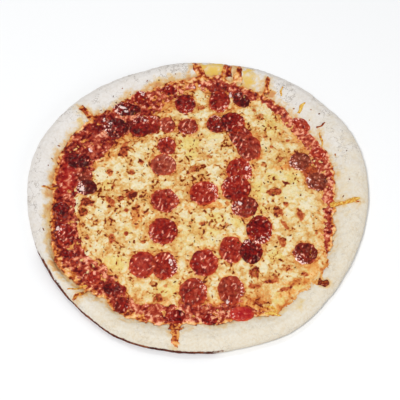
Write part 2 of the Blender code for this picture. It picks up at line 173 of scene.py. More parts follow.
BRIGHT_SAUCE = (
    (-128, 20, 16, 40, 0.9), (-127, -40, 12, 24, 0.5), (-98, -83, 12, 11, 1),
    (102, 86, 52, 9, 1, -52), (118, 53, 15, 9, 1, -30), (133, 27, 7, 10, 1), (128, -4, 8, 9, 1),
    (8, -125, 16, 8, 0.9), (55, -108, 22, 12, 0.8), (92, 97, 5, 18, 0.9, 40),
    (-60, 117, 12, 10, 0.6), (133, 12, 6, 34, 0.5, 8),
)
ORANGE_SAUCE = (
    (-141, 25, 5, 50, 1), (-135, -68, 14, 20, 0.9), (-120, -82, 20, 12, 0.9, -35),
    (5, 138, 22, 12, 0.7, 30), (-20, 132, 36, 10, 0.6, 5), (70, 118, 20, 12, 0.7, -10),
    (72, 130, 7, 22, 0.9, -10), (45, 138, 6, 30, 0.5), (2, 147, 8, 22, 0.7, 30),
    (147, -6, 30, 8, 1, 5), (112, -72, 9, 30, 0.9), (-60, -122, 24, 10, 0.8, -15),
    (-21, -138, 9, 28, 0.7), (20, -127, 30, 5, 0.6), (-107, 92, 9, 7, 0.8, -40),
    (-136, 50, 8, 26, 0.8, -18),
)

# Cheese
CHEESE_STEP = 0.9 * MM
CHEESE_RAGGEDNESS = 3.6 * MM
CHEESE_RAGGED_SIZE = 8 * MM
CHEESE_EDGE_THICKNESS = 0.25 * MM
CHEESE_EDGE_WIDTH = 6 * MM
CHEESE_LIFT = 1.1 * MM
CHEESE_COVER = 0.5 * MM
BUBBLE_LIFT = 0.7 * MM
RIDGE_SIZE = 7 * MM
SHRED_SIZE = 3.6 * MM
CHANNEL_SIZE = 11 * MM
BLOB_SIZE = 13 * MM
FLAKE_WIDTH = 4 * MM
ISLAND_SIZE = 6 * MM
ISLAND_HEIGHT = 9 * MM
MELT_WIDTH = 16 * MM
# How far the cheese reaches from the middle, in millimetres, every 10 degrees.
CHEESE_REACH = (
    122, 121, 121, 121, 119, 126, 127, 124, 116, 128, 121, 108, 101, 100, 100, 104, 106, 116,
    120, 118, 122, 120, 114, 115, 122, 118, 113, 110, 112, 116, 142, 142, 146, 142, 128, 123,
)
# How far it may run over the edge of the sauce, in millimetres, every 30 degrees.
CHEESE_OVER = (0, 0, 0, 3, 1, 0, 0, 0, 0, 1, 5, 5)
# How orange the outer part of the cheese has melted, every 30 degrees.
MELTED = (0.4, 0.8, 0.5, 0.9, 1, 0.9, 0.55, 0.35, 0.3, 0.7, 1, 0.9)
# How speckled the cheese is, every 30 degrees.
SPECKLED = (0.2, 0.5, 0.8, 1, 1, 0.9, 0.9, 0.8, 0.6, 0.5, 0.6, 0.3)
# Browned bubbles in the cheese.
BROWN_SPOTS = (
    (-107, -6, 14, 12, 1), (-110, -16, 12, 9, 0.9), (-87, 27, 8, 9, 0.8), (-82, 12, 6, 8, 0.5),
    (-73, 52, 11, 22, 0.9, -20), (-86, 62, 10, 12, 0.8), (-55, 38, 6, 8, 0.7),
    (-65, 27, 6, 7, 0.7), (-64, 3, 16, 9, 1, 20), (-74, -1, 8, 6, 0.8), (-69, -14, 5, 6, 0.9),
    (-84, -6, 6, 17, 0.9, 32), (-83, -25, 6, 8, 0.6), (-82, -45, 8, 13, 0.8),
    (-68, -39, 5, 5, 0.9), (-97, -27, 11, 6, 0.4, 20), (-105, -43, 6, 5, 0.8),
    (-60, -18, 9, 26, 0.5, -10), (-90, -76, 10, 13, 1), (-77, -83, 5, 5, 1),
    (-36, -105, 10, 9, 1), (-42, -91, 7, 5, 0.6), (-30, -93, 5, 5, 0.6), (53, -79, 11, 13, 1),
    (51, -93, 8, 8, 0.8), (66, -89, 18, 4, 0.9, 12), (81, -96, 13, 6, 0.9, 15),
    (84, -75, 13, 7, 0.6, 10), (101, -81, 8, 5, 0.7), (73, -84, 4, 12, 0.7, 30),
    (56, -93, 5, 9, 0.6), (77, -16, 11, 13, 0.9), (75, 5, 15, 9, 0.9), (80, -48, 8, 13, 0.8, 20),
    (84, -31, 4, 15, 0.8, 35), (65, 36, 7, 8, 0.7), (82, 42, 9, 10, 0.5),
    (109, 29, 17, 22, 1, 38), (112, 31, 9, 24, 1, 42), (87, 15, 7, 4, 0.9, -20),
    (85, -8, 6, 6, 1), (99, -20, 9, 14, 0.9, 10), (64, -8, 4, 3, 1), (113, -38, 4, 5, 0.8),
    (63, 90, 8, 8, 0.6), (57, 99, 7, 6, 0.6), (88, 88, 6, 8, 0.6), (90, 63, 6, 4, 0.8),
    (67, 69, 6, 10, 0.5), (73, 55, 4, 5, 0.7), (-2, 31, 20, 8, 0.6, 30), (24, 26, 8, 5, 0.5, 40),
    (11, 45, 7, 4, 0.5, -30), (-11, 43, 6, 6, 0.4), (4, 102, 14, 5, 0.7, 10), (5, -29, 7, 7, 0.7),
    (-7, -28, 5, 5, 0.7), (24, -21, 3, 6, 0.6), (28, -30, 5, 4, 0.6), (-52, -48, 5, 4, 0.8),
    (-51, -17, 9, 5, 0.6, -30), (4, -45, 8, 6, 0.4), (-15, -53, 5, 9, 0.4),
    (15, -112, 10, 9, 0.4), (-16, -110, 6, 10, 0.7),
)
# Where the cheese is a clean white, a clear yellow, and soaked with orange oil.
WHITE_CHEESE = (
    # The patch at -72, -7 is a painted highlight, a pale glint on grease, not white cheese.
    (-96, 26, 12, 16, 1), (-72, -7, 8, 8, 1), (-94, -16, 12, 13, 0.9), (-117, -8, 7, 18, 0.9),
    (-121, 9, 6, 10, 0.6), (14, 30, 13, 10, 1), (8, 74, 14, 8, 0.8), (-21, 95, 16, 9, 0.8),
    (5, 94, 18, 9, 0.8), (1, 114, 10, 20, 0.7), (-13, -19, 12, 8, 0.9), (5, -18, 10, 7, 0.7),
    (12, -50, 8, 10, 0.8), (28, -24, 4, 14, 0.8, -15), (85, -44, 7, 7, 0.8),
    (78, -26, 12, 7, 0.6), (-105, -62, 9, 11, 0.7), (75, -108, 9, 7, 0.6), (72, 98, 16, 9, 0.9),
    (80, 57, 12, 8, 0.7), (-58, 45, 10, 18, 0.6), (108, -8, 20, 18, 0.7),
    (90, 4, 22, 12, 0.8, 10), (93, 44, 8, 5, 0.4), (-45, 25, 12, 10, 0.7), (20, 52, 24, 8, 0.4),
    (-15, -75, 8, 24, 0.7), (60, -75, 12, 14, 0.6), (14, -98, 8, 12, 0.5),
)
YELLOW_CHEESE = (
    (-9, 60, 22, 18, 1), (-6, 47, 16, 12, 0.9), (-78, -70, 24, 16, 0.9, 10),
    (-25, -97, 34, 16, 0.8), (18, -24, 20, 14, 0.8), (15, -38, 12, 10, 0.7),
    (38, -27, 14, 12, 0.9), (58, 8, 14, 26, 0.9), (74, 22, 16, 12, 0.8), (93, 22, 14, 14, 0.8),
    (60, -14, 14, 12, 0.8), (76, 84, 22, 26, 0.7), (72, 78, 16, 20, 0.6), (-68, -37, 12, 9, 0.8),
    (-88, 12, 16, 12, 0.7), (-42, -52, 14, 10, 0.6), (72, -62, 18, 14, 0.8), (15, 68, 16, 8, 0.7),
    (70, -120, 24, 8, 0.7, -12), (100, -64, 10, 8, 0.4), (-103, -92, 14, 16, 0.5),
    (92, -92, 20, 10, 0.8), (76, -108, 16, 20, 0.8), (106, -78, 12, 20, 0.7),
    (-6, -40, 60, 40, 0.25), (78, 20, 50, 60, 0.3),
)
ORANGE_CHEESE = (
    (12, -8, 34, 9, 1), (-9, -12, 10, 10, 0.8), (56, 55, 12, 34, 0.9), (56, 28, 8, 14, 0.7),
    (40, 102, 16, 12, 0.7), (86, 33, 26, 8, 0.8), (94, -88, 24, 8, 0.9, 10),
    (108, -72, 16, 26, 1), (84, -100, 26, 9, 0.8, 20), (-58, -20, 12, 26, 0.8),
    (-10, 72, 14, 5, 0.5), (-45, 110, 30, 20, 0.9), (-30, 100, 14, 16, 0.8),
    (-35, 122, 26, 18, 0.8), (-8, 128, 24, 18, 0.8), (-100, 58, 26, 22, 0.8),
    (-102, 42, 12, 12, 0.6), (-3, -112, 16, 12, 0.8), (8, 88, 10, 8, 0.5), (24, -82, 8, 16, 0.4),
    (-43, 60, 10, 20, 0.4), (118, -45, 8, 20, 0.7), (60, -100, 16, 10, 0.6),
    (70, -88, 24, 12, 0.5),
)
# Where it is baked darker and redder.
BAKED_CHEESE = (
    (-42, 112, 40, 30, 0.55), (54, -107, 18, 11, 0.9), (-18, 128, 34, 9, 0.6),
    (6, 132, 16, 8, 0.7), (-98, 62, 30, 26, 0.9), (-62, 90, 10, 20, 0.8), (-45, 98, 16, 10, 0.7),
    (112, 28, 18, 15, 1), (98, 45, 14, 10, 0.6), (94, -90, 26, 9, 0.5, 20),
    (60, -104, 18, 14, 0.5), (-114, -52, 8, 30, 0.5, -10), (-100, -68, 16, 10, 0.4),
    (-50, -112, 30, 8, 0.5, -8), (8, -110, 18, 10, 0.6), (20, 88, 14, 22, 0.6),
)
# Speck layers over all the cheese: size, how long for its width, its turn in degrees, how much of
# the area it covers, and how dark.
SPECK_LAYERS = (
    (5.0 * MM, 1.3, 60, 0.14, 0.35),
    (3.6 * MM, 1.6, 10, 0.11, 0.6),
)
# Finer ones: size, turn and how long for their width.
CHEESE_SPECKS = (
    (3.0 * MM, 20, 1.8),
    (2.8 * MM, -55, 2.0),
    (3.4 * MM, 75, 1.5),
)

# Toppings creep over the edge of each slice in a ragged collar: its height and unevenness.
COLLAR_HEIGHT = 0.35 * MM
COLLAR_UNEVENNESS = 1.1 * MM

# Pepperoni
SLICE_SECTORS = 64
SLICE_RINGS = 15
SLICE_EDGE_ROUND = 0.9 * MM
SLICE_SPREAD = 1.05
# A slice shows this much over what it lies on, and keeps this share of its bends and tilt.
SLICE_SHOWS = 0.9 * MM
SLICE_KEEPS = 0.5
SLICE_STANDS = 2.4 * MM
SLICE_THICKNESS = 1.9 * MM
# The node's top is read with rays this far apart, on this share of the slice.
PROBE_SPACING = 1.6 * MM
PROBE_SHARE = 0.90
SLICE_RELIEF = ((6 * MM, 0.45 * MM), (2.8 * MM, 0.40 * MM))
OUTLINE_KERNEL = np.array((1, 3, 4, 3, 1)) / 12
# The slices that are a plain, bright red.
SMOOTH_SLICES = (41,)
# How each slice looks, in the order of the nodes: how dark, how brown, how greasy, and the side of
# it, in degrees, where the pale grease is. That grease is partly a painted highlight, and the tone
# is painted a little lighter towards that side.
SLICE_LOOKS = (
    (0.25, 0, 0.3, 200), (0.45, 0.1, 0.9, 0), (0.25, 0.5, 0.4, 60), (0.35, 0.1, 0.4, 30),
    (0.2, 0, 0.5, 30), (0.45, 0, 0.4, 220), (0.35, 0, 0.3, 40), (0.3, 0.05, 0.3, 0),
    (0.75, 0, 0.6, 90), (0.6, 0, 0.6, 300), (0.55, 0.35, 0.6, 200), (0.3, 0, 0.6, 0),
    (0.5, 0, 0.5, 120), (0.5, 0.25, 0, 0), (0.45, 0.3, 0, 0), (0.6, 0.2, 0.6, 70),
    (0.65, 0, 0.2, 0), (0.4, 0.1, 0.4, 300), (0.9, 0.1, 0.5, 120), (0.6, 0, 0.4, 300),
    (0.3, 0.35, 0.6, 270), (0.3, 0.4, 0.5, 180), (0.35, 0.1, 0.6, 90), (0.4, 0.1, 0.5, 90),
    (0.7, 0, 0.5, 90), (0.9, 0, 0.7, 200), (0.9, 0, 0.7, 170), (0.5, 0.1, 0.8, 90),
    (0.65, 0, 0.5, 90), (0.5, 0.5, 0.2, 0), (0.95, 0, 0.3, 90), (1.05, 0.15, 1, 190),
    (0.5, 0, 0.7, 150), (0.8, 0, 0.4, 90), (0.7, 0, 0.3, 0), (0.25, 0, 0.2, 0),
    (0.9, 0.1, 0.3, 0), (0.6, 0.1, 0.4, 0), (0.6, 0, 0.3, 180), (0.4, 0.15, 0.5, 30),
    (0.05, 0, 0.4, 180), (0.35, 0.35, 0.5, 0), (0.5, 0, 0.4, 90), (0.7, 0.5, 0.9, 235),
    (0.55, 0.85, 1, 215), (0.55, 0.85, 1, 215), (0.15, 0, 0.4, 90), (0.2, 0.15, 0.6, 90),
)

# Painted highlights: white glints of light on grease, painted into the colour of the slices and the
# sauce.
PAINTED_GLINTS = (
    (-113, 9, 6, 6, 1), (-115, 13, 3, 4, 0.8), (-76, 102, 9, 3, 0.9, -10), (-72, 98, 5, 3, 0.8),
    (-94, 88, 3, 5, 0.7, 20), (-88, 84, 4, 4, 0.6), (-93, 76, 3, 5, 0.6, 30),
    (-133, -34, 4, 6, 0.8), (-107, 54, 3, 6, 0.9, 30), (-57, 118, 3, 6, 0.6, 35),
    (-53, 86, 3, 4, 0.7), (33, 118, 3, 10, 0.9, 10), (-4, 127, 3, 5, 0.9), (2, 128, 4, 5, 0.9),
    (20, 79, 6, 3, 0.8, 20), (15, 9, 3, 4, 0.8), (41, -7, 5, 3, 0.9, -40),
    (-25, -69, 4, 9, 0.7, 20), (97, 37, 3, 5, 0.7, 50), (103, 28, 3, 5, 0.7, 50),
    (107, 25, 4, 3, 0.6, 50), (108, 20, 3, 5, 0.7, 50), (116, 15, 5, 2, 0.5, 50),
    (95, -68, 8, 4, 0.6, -20), (48, 32, 4, 5, 0.7), (28, -108, 4, 6, 0.7), (-70, 6, 4, 4, 0.7),
)

# Screen colours of each finish, from its darkest tone to its palest.
COOL_CRUST = ((0, (206, 194, 182)), (0.35, (218, 211, 203)), (1, (225, 220, 215)))
WARM_CRUST = ((0, (208, 188, 154)), (0.35, (219, 206, 183)), (1, (224, 216, 200)))
STAINED_CRUST = (
    (0, (222, 208, 180)), (0.45, (218, 192, 146)), (0.8, (214, 164, 96)), (1, (200, 128, 60)),
)
# The burnt edge, partly a painted shadow.
BURNT_AND_SHADOW_COLOURS = (
    (0.3, (52, 22, 16)), (0.5, (92, 38, 24)), (0.65, (142, 78, 42)), (0.8, (188, 138, 86)),
)
SAUCE_COLOURS = (
    (0, (84, 8, 16)), (0.15, (116, 20, 18)), (0.38, (144, 40, 28)), (0.62, (170, 66, 44)),
    (0.84, (202, 106, 76)), (1, (232, 160, 124)),
)
CHEESE_COLOURS = (
    (0, (104, 30, 8)), (0.08, (142, 60, 18)), (0.18, (180, 100, 38)), (0.34, (206, 144, 74)),
    (0.55, (218, 177, 110)), (0.75, (225, 201, 146)), (1, (230, 218, 186)),
)
SPOT_COLOURS = (
    (0, (98, 26, 16)), (0.15, (140, 44, 24)), (0.3, (176, 74, 38)), (0.5, (206, 120, 66)),
)
MELTED_COLOURS = (
    (0, (112, 26, 10)), (0.2, (164, 66, 26)), (0.45, (210, 124, 54)), (0.7, (227, 164, 86)),
    (1, (238, 200, 138)),
)
PEPPERONI_COLOURS = (
    (0, (58, 4, 12)), (0.2, (110, 12, 14)), (0.4, (144, 26, 18)), (0.6, (168, 50, 32)),
    (0.8, (196, 84, 56)), (1, (228, 132, 98)),
)
BROWN_SLICE_COLOURS = (
    (0, (84, 24, 18)), (0.35, (132, 58, 38)), (0.7, (172, 98, 72)), (1, (212, 146, 118)),
)
HERB_COLOURS = ((0, (70, 46, 20)), (0.25, (118, 60, 24)), (1, (176, 104, 42)))
STRAND_COLOURS = (
    (0, (108, 30, 16)), (0.3, (172, 80, 30)), (0.65, (212, 148, 54)), (1, (226, 190, 96)),
)

# Plain screen colours.
# Dark crack lines, partly the painted shade inside the cracks.
CRACK_SHADE_COLOUR = (132, 118, 106)
GRAIN_COLOUR = (196, 150, 96)
OIL_COLOUR = (222, 184, 84)
BRIGHT_SAUCE_COLOUR = (178, 24, 26)
# Pale flecks on the sauce: a painted highlight.
SAUCE_HIGHLIGHT_COLOUR = (240, 176, 146)
YELLOW_COLOUR = (225, 201, 116)
SMOOTH_SLICE_COLOUR = (186, 26, 42)
RIM_COLOUR = (200, 78, 40)
# Dots of fat, partly painted glints.
FAT_AND_GLINT_COLOUR = (244, 168, 140)
PIT_COLOUR = (96, 14, 14)
GREASE_SHEEN_COLOUR = (244, 198, 184)
# The colour of the painted highlights.
PAINTED_GLINT_COLOUR = (248, 222, 214)
# The gloss of what is wet with orange oil.
WET = {"Roughness": 0.1, "Specular_IOR_Level": 0.2, "Specular_Tint": (1.0, 0.66, 0.52, 1.0)}

# Herb flakes: how many are tried, how long, wide and thick they are, and those on the crust.
HERB_COUNT = 320
HERB_LENGTH = (1.2 * MM, 3.6 * MM)
HERB_WIDTH = (0.7 * MM, 1.6 * MM)
HERB_THICKNESS = 0.3 * MM
HERB_REACH = 140 * MM
HERB_STATIONS = 4
CRUST_HERBS = (
    (-86, 114), (-77, 123), (-69, 118), (-98, 99), (-83, 108), (-74, 112), (-23, 141), (-40, 134),
    (-52, 132), (-142, -14), (-142, -30), (-147, -36), (-147, 34), (-144, 42), (-138, 57),
    (148, 18), (141, 0), (136, 47), (147, 50), (122, 92), (112, 86), (114, 97), (74, 121),
    (97, 100), (129, -46), (78, -114), (15, -131), (-13, -134), (127, 52), (123, 68),
)

# Melted strands that lie on the crust: where each starts and ends, its width in millimetres and
# how pale it is.
STRANDS = (
    ((101, 95), (108, 106), 3.6, 0.9), ((119, 77), (128, 82), 2, 0.2),
    ((122, 72), (124, 56), 1.8, 0.6), ((-103, -93), (-121, -98), 2.2, 0.6),
    ((-106, -100), (-115, -107), 3.4, 0.35), ((112, -90), (122, -92.5), 7, 0),
    ((84, 114), (86, 125), 2, 0.8), ((128, -9), (157, -3), 4.6, 0.75),
    ((62, -119), (77, -122), 3, 0.9), ((64, -112), (74, -118), 2.6, 0.8),
    ((-136, 10), (-151, 10), 2.4, 0.4),
)
STRAND_SIDES = 8
STRAND_STEP = 1.2 * MM
STRAND_HEIGHT = 1.1 * MM
STRAND_WANDER = 0.7 * MM


# Noise

GRADIENTS = np.random.default_rng(SEED).normal(size=(LATTICE, LATTICE, LATTICE, 3))
GRADIENTS /= np.linalg.norm(GRADIENTS, axis=3, keepdims=True)


def waves(points, size, variant=0.0):
    """Smooth noise from about -1 to 1 over an n by 3 array of points, each wave about size across."""
    place = points / size + NOISE_START * (variant + 1) + VARIANT_SHIFT * variant
    cell = np.floor(place).astype(int)
    part = place - cell
    fade = part**3 * (part * (part * 6 - 15) + 10)
    total = np.zeros(len(points))
    for corner in itertools.product((0, 1), repeat=3):
        gradient = GRADIENTS[tuple(((cell + corner) % LATTICE).T)]
        weight = np.prod(np.where(corner, fade, 1 - fade), axis=1)
        total += weight * ((part - corner) * gradient).sum(axis=1)
    return total * NOISE_GAIN


def fractal(points, size, octaves=3, variant=0.0):
    """Noise with finer and weaker noise on top."""
    return sum(
        waves(points, size / 2**octave, variant + FINER_SHIFT * octave) / 2**octave
        for octave in range(octaves)
    )


def relief(points, layers, variant=0.0):
    """The height of several layers of noise, each given as its size and its depth."""
    return sum(
        depth * waves(points, size, variant + number) for number, (size, depth) in enumerate(layers)
    )


def step(values, low, high):
    """0 below low, 1 above high, and smooth between them."""
    share = np.clip((values - low) / (high - low), 0, 1)
    return share * share * (3 - 2 * share)


def spread(values, among):
    """Each value's rank among some of them, from 0 to 1, so that all ranks are equally common."""
    ordered = np.sort(values[among])
    return np.searchsorted(ordered, values) / len(ordered)


def around(points, amounts):
    """A value that changes smoothly round the pizza, through evenly spaced amounts."""
    angle = np.degrees(np.arctan2(points[:, 1], points[:, 0]))
    turns = np.linspace(0, 360, len(amounts), endpoint=False)
    return np.interp(angle, turns, amounts, period=360)


def smoothed_round(values, kernel):
    """Values at even turns, each blended with its neighbours on both sides."""
    reach = len(kernel) // 2
    wrapped = np.concatenate((values[-reach:], values, values[:reach]))
    return sum(weight * wrapped[shift : shift + len(values)] for shift, weight in enumerate(kernel))


def turned(points, degrees):
    """How far points are along and across a direction in plan."""
    cosine, sine = math.cos(math.radians(degrees)), math.sin(math.radians(degrees))
    x, y = points[:, 0], points[:, 1]
    return x * cosine + y * sine, y * cosine - x * sine


def oval_share(points, x, y, across, deep, turn=0.0):
    """How far points are from the middle of an oval in plan: 1 is on its edge."""
    along, side = turned(points[:, :2] - np.array((x, y)) * MM, turn)
    return np.hypot(along / (across * MM / 2), side / (deep * MM / 2))


def patches(points, ovals, raggedness, variant):
    """The strongest of several soft oval patches at each point, with ragged edges."""
    ragged = raggedness * fractal(points, 5 * MM, 3, variant)
    found = np.zeros(len(points))
    for x, y, across, deep, strength, *turn in ovals:
        share = oval_share(points, x, y, across, deep, *turn) + ragged
        found = np.maximum(found, strength * (1 - step(share, 0.6, 1.2)))
    return found


# Reading the frame

def tree_of(node):
    mesh = node.data
    corners = [vert.co for vert in mesh.vertices]
    return BVHTree.FromPolygons(corners, [face.vertices for face in mesh.polygons])


def heights(tree, points, from_below=False):
    """The height where a vertical ray at each point meets a node, and nan where it misses."""
    start = -SKY if from_below else SKY
    way = Vector((0, 0, 1 if from_below else -1))
    found = np.full(len(points), np.nan)
    for index, (x, y) in enumerate(points[:, :2]):
        hit = tree.ray_cast(Vector((x, y, start)), way)[0]
        if hit is not None:
            found[index] = hit.z
    return found


def blurred(grid, reach):
    """A grid smoothed over reach cells each way, three times over."""
    width = 2 * reach + 1
    for _ in range(3):
        for axis in (0, 1):
            padding = [(reach + 1, reach) if side == axis else (0, 0) for side in (0, 1)]
            total = np.cumsum(np.pad(grid, padding, "edge"), axis=axis)
            ahead = np.take(total, range(width, total.shape[axis]), axis=axis)
            behind = np.take(total, range(total.shape[axis] - width), axis=axis)
            grid = (ahead - behind) / width
    return grid


def filled_in(grid):
    """A grid whose missing values are taken from the nearest known ones."""
    known = ~np.isnan(grid)
    value = np.where(known, grid, 0.0)
    while not known.all():
        near = np.zeros_like(value)
        count = np.zeros_like(value)
        for axis, shift in itertools.product((0, 1), (-1, 1)):
            near += np.roll(value * known, shift, axis)
            count += np.roll(known, shift, axis)
        fresh = ~known & (count > 0)
        value[fresh] = near[fresh] / count[fresh]
        known |= fresh
    return value


def lowest_near(grid, reach):
    """The lowest value within reach cells of each one."""
    found = grid.copy()
    for rows, columns in itertools.product(range(-reach, reach + 1), repeat=2):
        if math.hypot(rows, columns) <= reach + 0.1:
            found = np.minimum(found, np.roll(grid, (rows, columns), (0, 1)))
    return found


class Field:
    """A square grid over the pizza, on which each layer's outline and heights are worked out."""

    def __init__(self, spacing, reach):
        self.spacing = spacing
        self.count = 2 * round(reach / spacing) + 1
        line = (np.arange(self.count) - self.count // 2) * spacing
        across, deep = np.meshgrid(line, line)
        self.points = np.column_stack((across.ravel(), deep.ravel(), np.zeros(self.count**2)))

    def grid(self, values):
        return values.reshape(self.count, self.count)

    def sample(self, grid, points):
        """The values of a grid at other points, blended from the four cells round each."""
        place = points[:, :2] / self.spacing + self.count // 2
        column, row = np.clip(place, 0, self.count - 1.001).T
        left, low = np.floor(column).astype(int), np.floor(row).astype(int)
        right_share, up_share = column - left, row - low
        below = grid[low, left] * (1 - right_share) + grid[low, left + 1] * right_share
        above = grid[low + 1, left] * (1 - right_share) + grid[low + 1, left + 1] * right_share
        return below * (1 - up_share) + above * up_share

    def depth_inside(self, tree):
        """How far each point is inside a node's outline in plan, negative outside."""
        inside = self.grid(~np.isnan(heights(tree, self.points)))
        edge = []
        for axis, offset in ((0, (0.5, 0)), (1, (0, 0.5))):
            changes = np.argwhere(np.diff(inside, axis=axis))
            edge.append((changes + offset - self.count // 2) * self.spacing)
        edge = np.concatenate(edge)
        finder = KDTree(len(edge))
        for index, (row, column) in enumerate(edge):
            finder.insert((column, row, 0), index)
        finder.balance()
        distance = np.array([finder.find(point)[2] for point in self.points])
        return np.where(inside.ravel(), distance, -distance)


# Meshes

def add_piece(mesh, finish, nodes=()):
    """Makes an object of a mesh, rides it on the pizza and gives it its finish."""
    piece = bpy.data.objects.new(mesh.name, mesh)
    bpy.context.scene.collection.objects.link(piece)
    mesh.materials.append(finish)
    mesh.shade_smooth()
    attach(piece, "root")
    if nodes:
        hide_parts(*nodes)
    return piece


def mesh_from(name, points, faces, masks):
    """A mesh from arrays, with each mask stored as an attribute of its vertices."""
    mesh = bpy.data.meshes.new(name)
    mesh.from_pydata([tuple(point) for point in points], [], [tuple(face) for face in faces])
    for mask, values in masks.items():
        stored = mesh.attributes.new(mask, "FLOAT", "POINT")
        stored.data.foreach_set("value", np.asarray(values, np.float32))
    mesh.update()
    return mesh


def open_edges(faces):
    """The edges that only one face uses, as pairs of corners in the face's own order."""
    starts = faces.ravel()
    ends = np.roll(faces, -1, axis=1).ravel()
    most = faces.max() + 1
    alone = ~np.isin(starts * most + ends, ends * most + starts)
    return np.column_stack((starts[alone], ends[alone]))


def layer_mesh(name, field, depth, bottom, thickness, masks):
    """A closed layer where depth is above zero. Corners just outside are pulled onto its edge."""
    count = field.count
    rows, columns = np.meshgrid(np.arange(count - 1), np.arange(count - 1), indexing="ij")
    first = (rows * count + columns).ravel()
    cells = np.column_stack((first, first + 1, first + count + 1, first + count))
    inside = depth > 0
    cells = cells[inside[cells].any(axis=1)]
    used, packed = np.unique(cells, return_inverse=True)
    cells = packed.reshape(cells.shape)

    slope_y, slope_x = np.gradient(field.grid(depth), field.spacing)
    slope = np.column_stack((slope_x.ravel(), slope_y.ravel()))[used]
    steepness = np.maximum((slope**2).sum(axis=1), 0.2)
    pull = np.where(inside[used], 0.0, -depth[used] / steepness)[:, None] * slope
    length = np.linalg.norm(pull, axis=1)
    pull *= np.minimum(1, 1.2 * field.spacing / np.maximum(length, 1e-9))[:, None]

    low = field.points[used].copy()
    low[:, :2] += pull
    low[:, 2] = bottom[used]
    high = low.copy()
    high[:, 2] += thickness[used]
    total = len(used)
    walls = open_edges(cells)
    sides = np.column_stack((walls[:, 1], walls[:, 0], walls[:, 0] + total, walls[:, 1] + total))
    faces = np.concatenate((cells + total, cells[:, ::-1], sides))
    double = {mask: np.tile(values[used], 2) for mask, values in masks.items()}
    return mesh_from(name, np.concatenate((low, high)), faces, double)


def ring_faces(rings):
    """Quads between rings of corners, each ring joined to the next one up."""
    quads = [
        np.column_stack((low, np.roll(low, -1), np.roll(high, -1), high))
        for low, high in zip(rings, rings[1:])
    ]
    return list(np.concatenate(quads))


def shell_faces(rings, lowest, highest):
    """Faces of rings of corners, from the bottom up, closed with one corner at each end."""
    faces = ring_faces(rings)
    for ring, middle in ((rings[0][::-1], lowest), (rings[-1], highest)):
        faces += list(np.column_stack((ring, np.roll(ring, -1), np.full(len(ring), middle))))
    return faces


# Crust

def crust_section(tree, turn):
    """Evenly spaced points of the crust's section at one angle, from the underside to the base."""
    out = Vector((math.cos(turn), math.sin(turn), 0))
    rim = tree.ray_cast(out * SKY * 3 + Vector((0, 0, FAN_HEIGHT)), -out)[0]
    centre = out * (rim.length - FAN_INSET) + Vector((0, 0, FAN_HEIGHT))
    section = []
    for angle in np.radians(np.linspace(FAN_START, FAN_END, FAN_RAYS)):
        hit = tree.ray_cast(centre, out * math.cos(angle) + Vector((0, 0, math.sin(angle))))[0]
        if hit is not None:
            section.append((hit.dot(out), hit.z))
    section = np.array(section)
    steps = np.linalg.norm(np.diff(section, axis=0), axis=1)
    length = np.concatenate(([0], np.cumsum(steps)))
    stations = np.linspace(0, length[-1], CRUST_STATIONS)
    return np.column_stack([np.interp(stations, length, values) for values in section.T])


def crust_profiles(tree):
    """The crust's sections all the way round, smoothed from one to the next."""
    turns = 2 * math.pi * np.arange(CRUST_SECTORS) / CRUST_SECTORS
    profiles = np.array([crust_section(tree, turn) for turn in turns])
    kernel = np.hanning(2 * CRUST_SMOOTHING + 3)[1:-1]
    return smoothed_round(profiles, kernel / kernel.sum())


def crust_points(profiles):
    """The profiles turned into places, with the relief of baked dough, and their directions."""
    turn = np.linspace(0, 2 * math.pi, CRUST_SECTORS, endpoint=False)[:, None]
    cosine, sine = np.cos(turn), np.sin(turn)
    radius, height = profiles[:, :, 0], profiles[:, :, 1]
    points = np.stack((radius * cosine, radius * sine, height), axis=2).reshape(-1, 3)
    along = np.gradient(profiles, axis=1)
    along /= np.linalg.norm(along, axis=2, keepdims=True)
    rise, run = along[:, :, 1], along[:, :, 0]
    normals = np.stack((rise * cosine, rise * sine, -run), axis=2).reshape(-1, 3)
    station = np.tile(np.linspace(0, 1, CRUST_STATIONS), CRUST_SECTORS)
    free = step(station, *RELIEF_START) * (1 - step(station, *RELIEF_END))
    wrinkles = 1 - np.abs(fractal(points * (1, 1, 2), WRINKLE_SIZE, 2, 5))
    rough = relief(points, CRUST_RELIEF) - WRINKLE_DEPTH * step(wrinkles, 0.90, 1.0)
    points = points + normals * (free * rough)[:, None]
    points[:, 2] = np.maximum(points[:, 2], 0)
    return points, normals


def burnt_and_shadow_share(points, normals):
    """How burnt and painted with shadow the crust is: only its steep outer side, round one angle."""
    from_middle = np.arctan2(points[:, 1], points[:, 0]) - math.radians(BURNT_AND_SHADED_MIDDLE)
    in_front = step(np.cos(from_middle) + 0.05 * fractal(points, 12 * MM, 2, 3), 0.68, 0.88)
    radial = points[:, :2] / np.linalg.norm(points[:, :2], axis=1, keepdims=True)
    outward = (normals[:, :2] * radial).sum(axis=1)
    steep = step(0.15 * waves(points, 9 * MM, 3) - normals[:, 2], -0.55, -0.35)
    return steep * step(outward, 0.0, 0.3) * in_front


def crust_masks(points, normals, sauce_tree):
    """How stained, oily, burnt or painted with shadow, and warm in colour the crust is at each point.
    """
    field = Field(2 * MM, 176 * MM)
    distance = -field.sample(field.grid(field.depth_inside(sauce_tree)), points)
    ragged = fractal(points, 9 * MM, 3, 2)
    stain = 1 - step(distance + 3.5 * MM * ragged, -2 * MM, STAIN_REACH)
    away = points @ WARM_WAY / (160 * MM)
    return {
        "stain": np.maximum(stain * around(points, CRUST_STAIN), patches(points, STAINS, 0.4, 24)),
        "oil": patches(points, OIL_PATCHES, 0.5, 8),
        "burnt_and_shadow": burnt_and_shadow_share(points, normals),
        "warm": step(away + 0.3 * ragged, -0.55, 0.7),
        "outer": step(distance + 6 * MM * ragged, 16 * MM, 34 * MM) * step(away, -0.1, 0.6),
    }


